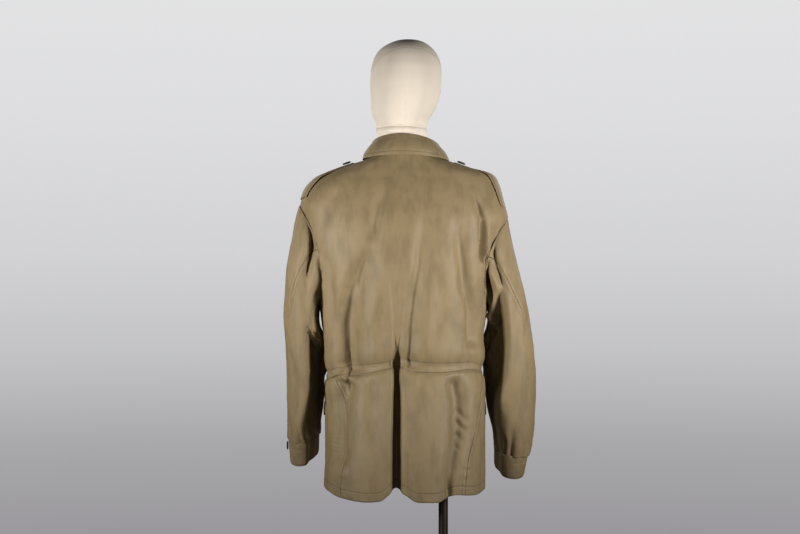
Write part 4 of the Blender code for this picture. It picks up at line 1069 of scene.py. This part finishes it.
HEAD = table(
    FORM,
    (1.6025, 0.0555, 0.061, 0.052, 0.006), (1.616, 0.0575, 0.065, 0.058, 0.006),
    (1.634, 0.0665, 0.074, 0.072, 0.004), (1.656, 0.0735, 0.082, 0.085, -0.0005),
    (1.68, 0.0775, 0.088, 0.095, -0.003), (1.705, 0.079, 0.091, 0.1, -0.0035),
    (1.73, 0.0785, 0.089, 0.098, -0.005), (1.752, 0.074, 0.082, 0.09, -0.0055),
    (1.77, 0.0655, 0.071, 0.078, -0.0055), (1.783, 0.053, 0.057, 0.063, -0.0065),
    (1.792, 0.039, 0.041, 0.046, -0.0085), (1.7975, 0.024, 0.025, 0.028, -0.009),
    (1.7995, 0.011, 0.0115, 0.0125, -0.009))


def form_ring(row, sides, power):
    turn = 2 * np.pi * np.arange(sides) / sides
    sine, cosine = np.sin(turn), np.cos(turn)
    depth = np.where(cosine >= 0, row.back, row.front)
    return np.stack([row.x + row.half * signed_power(sine, 2 / power),
                     depth * signed_power(cosine, 2 / power), row.z + 0 * turn], axis=-1)


def form_skin(name, rows, heights, power, node, mark):
    """A smooth closed skin through the rows' rings, capped at both ends."""
    sides = 128
    bm = bmesh.new()
    layer = bm.verts.layers.float.new("stitch")
    loops = []
    for z in heights:
        row, = table(FORM, [float(curve(z, rows, "z", name)) for name in FORM.split()])
        ring = form_ring(row, sides, power)
        sunk, shade = mark(ring, z)
        middle = np.array([row.x, 0.0, z])
        away = ring - middle
        away /= np.linalg.norm(away, axis=-1, keepdims=True)
        verts = [bm.verts.new(p) for p in ring - away * sunk[:, None]]
        for vert, value in zip(verts, shade):
            vert[layer] = float(value)
        loops.append(verts)
    for low, high in zip(loops[:-1], loops[1:]):
        for k in range(sides):
            bm.faces.new((low[k], high[k], high[(k + 1) % sides], low[(k + 1) % sides]))
    bm.faces.new(loops[0])
    bm.faces.new(loops[-1][::-1])
    bmesh.ops.recalc_face_normals(bm, faces=bm.faces[:])
    finished(name, bm, JERSEY, node)


def torso_marks(ring, z):
    seam = bump(ring[:, 0] - 0.002, 0.0016) * (ring[:, 1] > 0)
    return 0.0004 * seam, 0.35 * seam


def head_marks(ring, z):
    """The crown patch is a darker cap behind and above an arc seam, split by a short seam."""
    x, y = ring[:, 0] + 0.012, ring[:, 1]
    arc = 1.7745 - 0.0125 * (x / 0.045) ** 2 - 0.1 * (0.045 - y) * (y < 0.045)
    crown = ease((z - arc) / 0.0012 + 0.5)
    seam = bump(z - arc, 0.0012)
    centre = bump(x + 0.003, 0.0011) * (z > 1.776) * (y > -0.03)
    back = bump(ring[:, 0] + 0.003, 0.0011) * (z < 1.675) * (y > 0)
    neck = bump(z - 1.6035 - 0.004 * np.cos(x * 40), 0.0011)
    line = np.maximum(np.maximum(seam, centre), np.maximum(0.5 * back, neck))
    return 0.0005 * line - 0.0003 * crown, np.clip(0.42 * crown + 0.6 * line, 0, 1)


torso_heights = spaced(TORSO[0].z, TORSO[-1].z, 0.01, (TORSO[0].z + 0.003,), (0.0, 0.001, 0.002))
form_skin("form_torso_jersey", TORSO, torso_heights, 2.15, "form_torso", torso_marks)
# The rings crowd together towards the top of the head, and along the crown patch's seam.
top = 1.7995 - 0.197 * (1 - np.sin(np.linspace(0.0, math.pi / 2, 90)))
head_heights = np.unique(np.round(np.concatenate([top, np.arange(1.756, 1.796, 0.0012)]), 5))
form_skin("form_head_jersey", HEAD, head_heights, 2.0, "form_head", head_marks)

# %% [markdown]
# ## Pole, flange and base
# A steel tube runs from the form's underside, off the centre line, to a round painted plate.

# %% Stand
POLE_X, POLE_R = -0.087, 0.0105
FLANGE_TOP = 0.8676
for name, x, profile, skin, slot, node in (
    ("pole_tube", POLE_X, ((0.0, 0.0084), (POLE_R, 0.0084), (POLE_R, 0.8592), (0.0, 0.8592)),
     METALS["darkened_steel_tube"], "pole_steel", "pole"),
    ("pole_flange_turned", POLE_X,
     ((0.0, FLANGE_TOP - 0.008), (0.0255, FLANGE_TOP - 0.008), (0.027, FLANGE_TOP - 0.0072),
      (0.028, FLANGE_TOP - 0.0055), (0.028, FLANGE_TOP), (0.0, FLANGE_TOP)),
     METALS["darkened_steel_tube"], "pole_steel", "pole_flange"),
    ("base_plate", 0.0,
     ((0.0, 0.0), (0.1985, 0.0), (0.1995, 0.0004), (0.2, 0.0012), (0.2, 0.0052), (0.1992, 0.0068),
      (0.1975, 0.0077), (0.1955, 0.008), (0.0, 0.008)),
     METALS["painted_steel_plate"], "base_paint", "base"),
):
    bm = bmesh.new()
    turned(bm, profile, 96)
    bmesh.ops.translate(bm, verts=bm.verts[:], vec=(x, 0.0, 0.0))
    made = finished(name, bm, skin, node)
    edges = made.modifiers.new("turned edges", "BEVEL")
    edges.width, edges.segments, edges.limit_method, edges.angle_limit = 0.0003, 2, "ANGLE", math.radians(40)
    shade = made.modifiers.new("clean shading", "WEIGHTED_NORMAL")
    shade.keep_sharp = True

# %% [markdown]
# ## A record for how each piece was cut
# A pattern cutter's sizes: a Cut would hold a sheet's flat width, length and area before it
# was sewn, what holds it and what it rests on. No sheet is entered in one.

# %% The cut record
Cut = namedtuple("Cut", "width length area held rests_on")

# %% [markdown]
# ## Setting, light and camera
# A pale floor, and a pale sky that the camera sees painted lighter at the top and darker towards
# the bottom, a painted falloff of light; it lights the scene only as an even dim grey. Two narrow
# lamps stand at the jacket's height, 1.7 m away and 52 degrees to each side of the camera. They
# rake the back, so each fold has a bright flank and a dark one, and they dim towards the hem and
# the head. Two broad fills light the front.
# The camera stands level, three metres behind the jacket, with a long lens.

# %% Floor
FLOOR_R = 3.0
bm = bmesh.new()
bmesh.ops.create_circle(bm, cap_ends=True, segments=96, radius=FLOOR_R)
mesh = bpy.data.meshes.new("studio_floor")
bm.to_mesh(mesh)
bm.free()
floor = bpy.data.objects.new("studio_floor", mesh)
floor.location.z = -0.0005
bpy.context.scene.collection.objects.link(floor)
painted, tree, shader = new_material("matt_floor_paint", "pale matt floor paint")
shader.inputs["Base Color"].default_value = linear("CFCFD1")
shader.inputs["Roughness"].default_value = 0.9
mesh.materials.append(painted)
floor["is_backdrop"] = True
print("floor radius", FLOOR_R)

# %% World
world = bpy.data.worlds.new("studio")
bpy.context.scene.world = world
world.use_nodes = True
tree = world.node_tree
tree.nodes.clear()
ray = add(tree, "ShaderNodeTexCoord").outputs["Generated"]
height = add(tree, "ShaderNodeSeparateXYZ", {"Vector": ray}).outputs["Z"]
scale = add(tree, "ShaderNodeMapRange", {"Value": height, "From Min": -0.2, "From Max": 0.2}).outputs[0]
# The sky the camera sees is painted darker towards the bottom, a painted falloff of light; the light it
# gives the scene is the even dim grey below.
fade = add(tree, "ShaderNodeValToRGB", {"Fac": scale})
stops = fade.color_ramp
stops.elements[0].position, stops.elements[0].color = 0.0, linear("97959A")
stops.elements[1].position, stops.elements[1].color = 1.0, linear("E3E3E4")
for position, code in ((0.18, "A8A7A9"), (0.34, "C2C2C4"), (0.52, "D2D2D4"), (0.78, "DEDEE0")):
    stop = stops.elements.new(position)
    stop.color = linear(code)
painted_falloff_sky = add(tree, "ShaderNodeBackground", {"Color": fade.outputs["Color"], "Strength": 1.0}).outputs[0]
lit = add(tree, "ShaderNodeBackground", {"Color": linear("DDE0E6"), "Strength": 0.045}).outputs[0]
is_camera = add(tree, "ShaderNodeLightPath").outputs["Is Camera Ray"]
blend = add(tree, "ShaderNodeMixShader", {0: is_camera, 1: lit, 2: painted_falloff_sky}).outputs[0]
add(tree, "ShaderNodeOutputWorld", {"Surface": blend})
print("sky stops", len(stops.elements))

# %% Lights
LAMPS = table(
    "name azimuth elevation distance size power spread tint",
    ("left_lamp", 52.0, 0.0, 1.7, 0.36, 4.3, 62.0, "FFF7EC"),
    ("right_lamp", -52.0, 0.0, 1.7, 0.36, 4.9, 62.0, "FFF7EC"),
    ("front_left_fill", 150.0, 20.0, 3.2, 1.8, 22.0, 180.0, "F7F8FF"),
    ("front_right_fill", -150.0, 20.0, 3.2, 1.8, 22.0, 180.0, "F7F8FF"))
CHEST = Vector((0.0, 0.0, 1.31))
for row in LAMPS:
    data = bpy.data.lights.new(row.name, "AREA")
    data.shape, data.size, data.energy = "DISK", row.size, row.power
    data.color = linear(row.tint)[:3]
    data.spread = math.radians(row.spread)
    lamp = bpy.data.objects.new(row.name, data)
    a, e = math.radians(row.azimuth), math.radians(row.elevation)
    toward = Vector((math.sin(a) * math.cos(e), math.cos(a) * math.cos(e), math.sin(e)))
    lamp.location = CHEST + row.distance * toward
    lamp.rotation_euler = (CHEST - lamp.location).to_track_quat("-Z", "Y").to_euler()
    lamp.visible_camera = False
    bpy.context.scene.collection.objects.link(lamp)
print(len(LAMPS), "lamps")

# %% Camera
data = bpy.data.cameras.new("camera")
data.lens, data.sensor_width = 60.8, 36.0
camera = bpy.data.objects.new("camera", data)
camera.location = (0.009, 3.0, 1.296)
camera.rotation_euler = (math.radians(90), 0.0, math.radians(180))
bpy.context.scene.collection.objects.link(camera)
bpy.context.scene.camera = camera
bpy.context.scene.view_settings.view_transform = "Standard"
print("camera", [round(v, 3) for v in camera.location], "lens", round(data.lens, 1), "mm")

# %% Sizes and the end
low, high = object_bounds()
print("visual box", [round(v, 3) for v in low], [round(v, 3) for v in high])
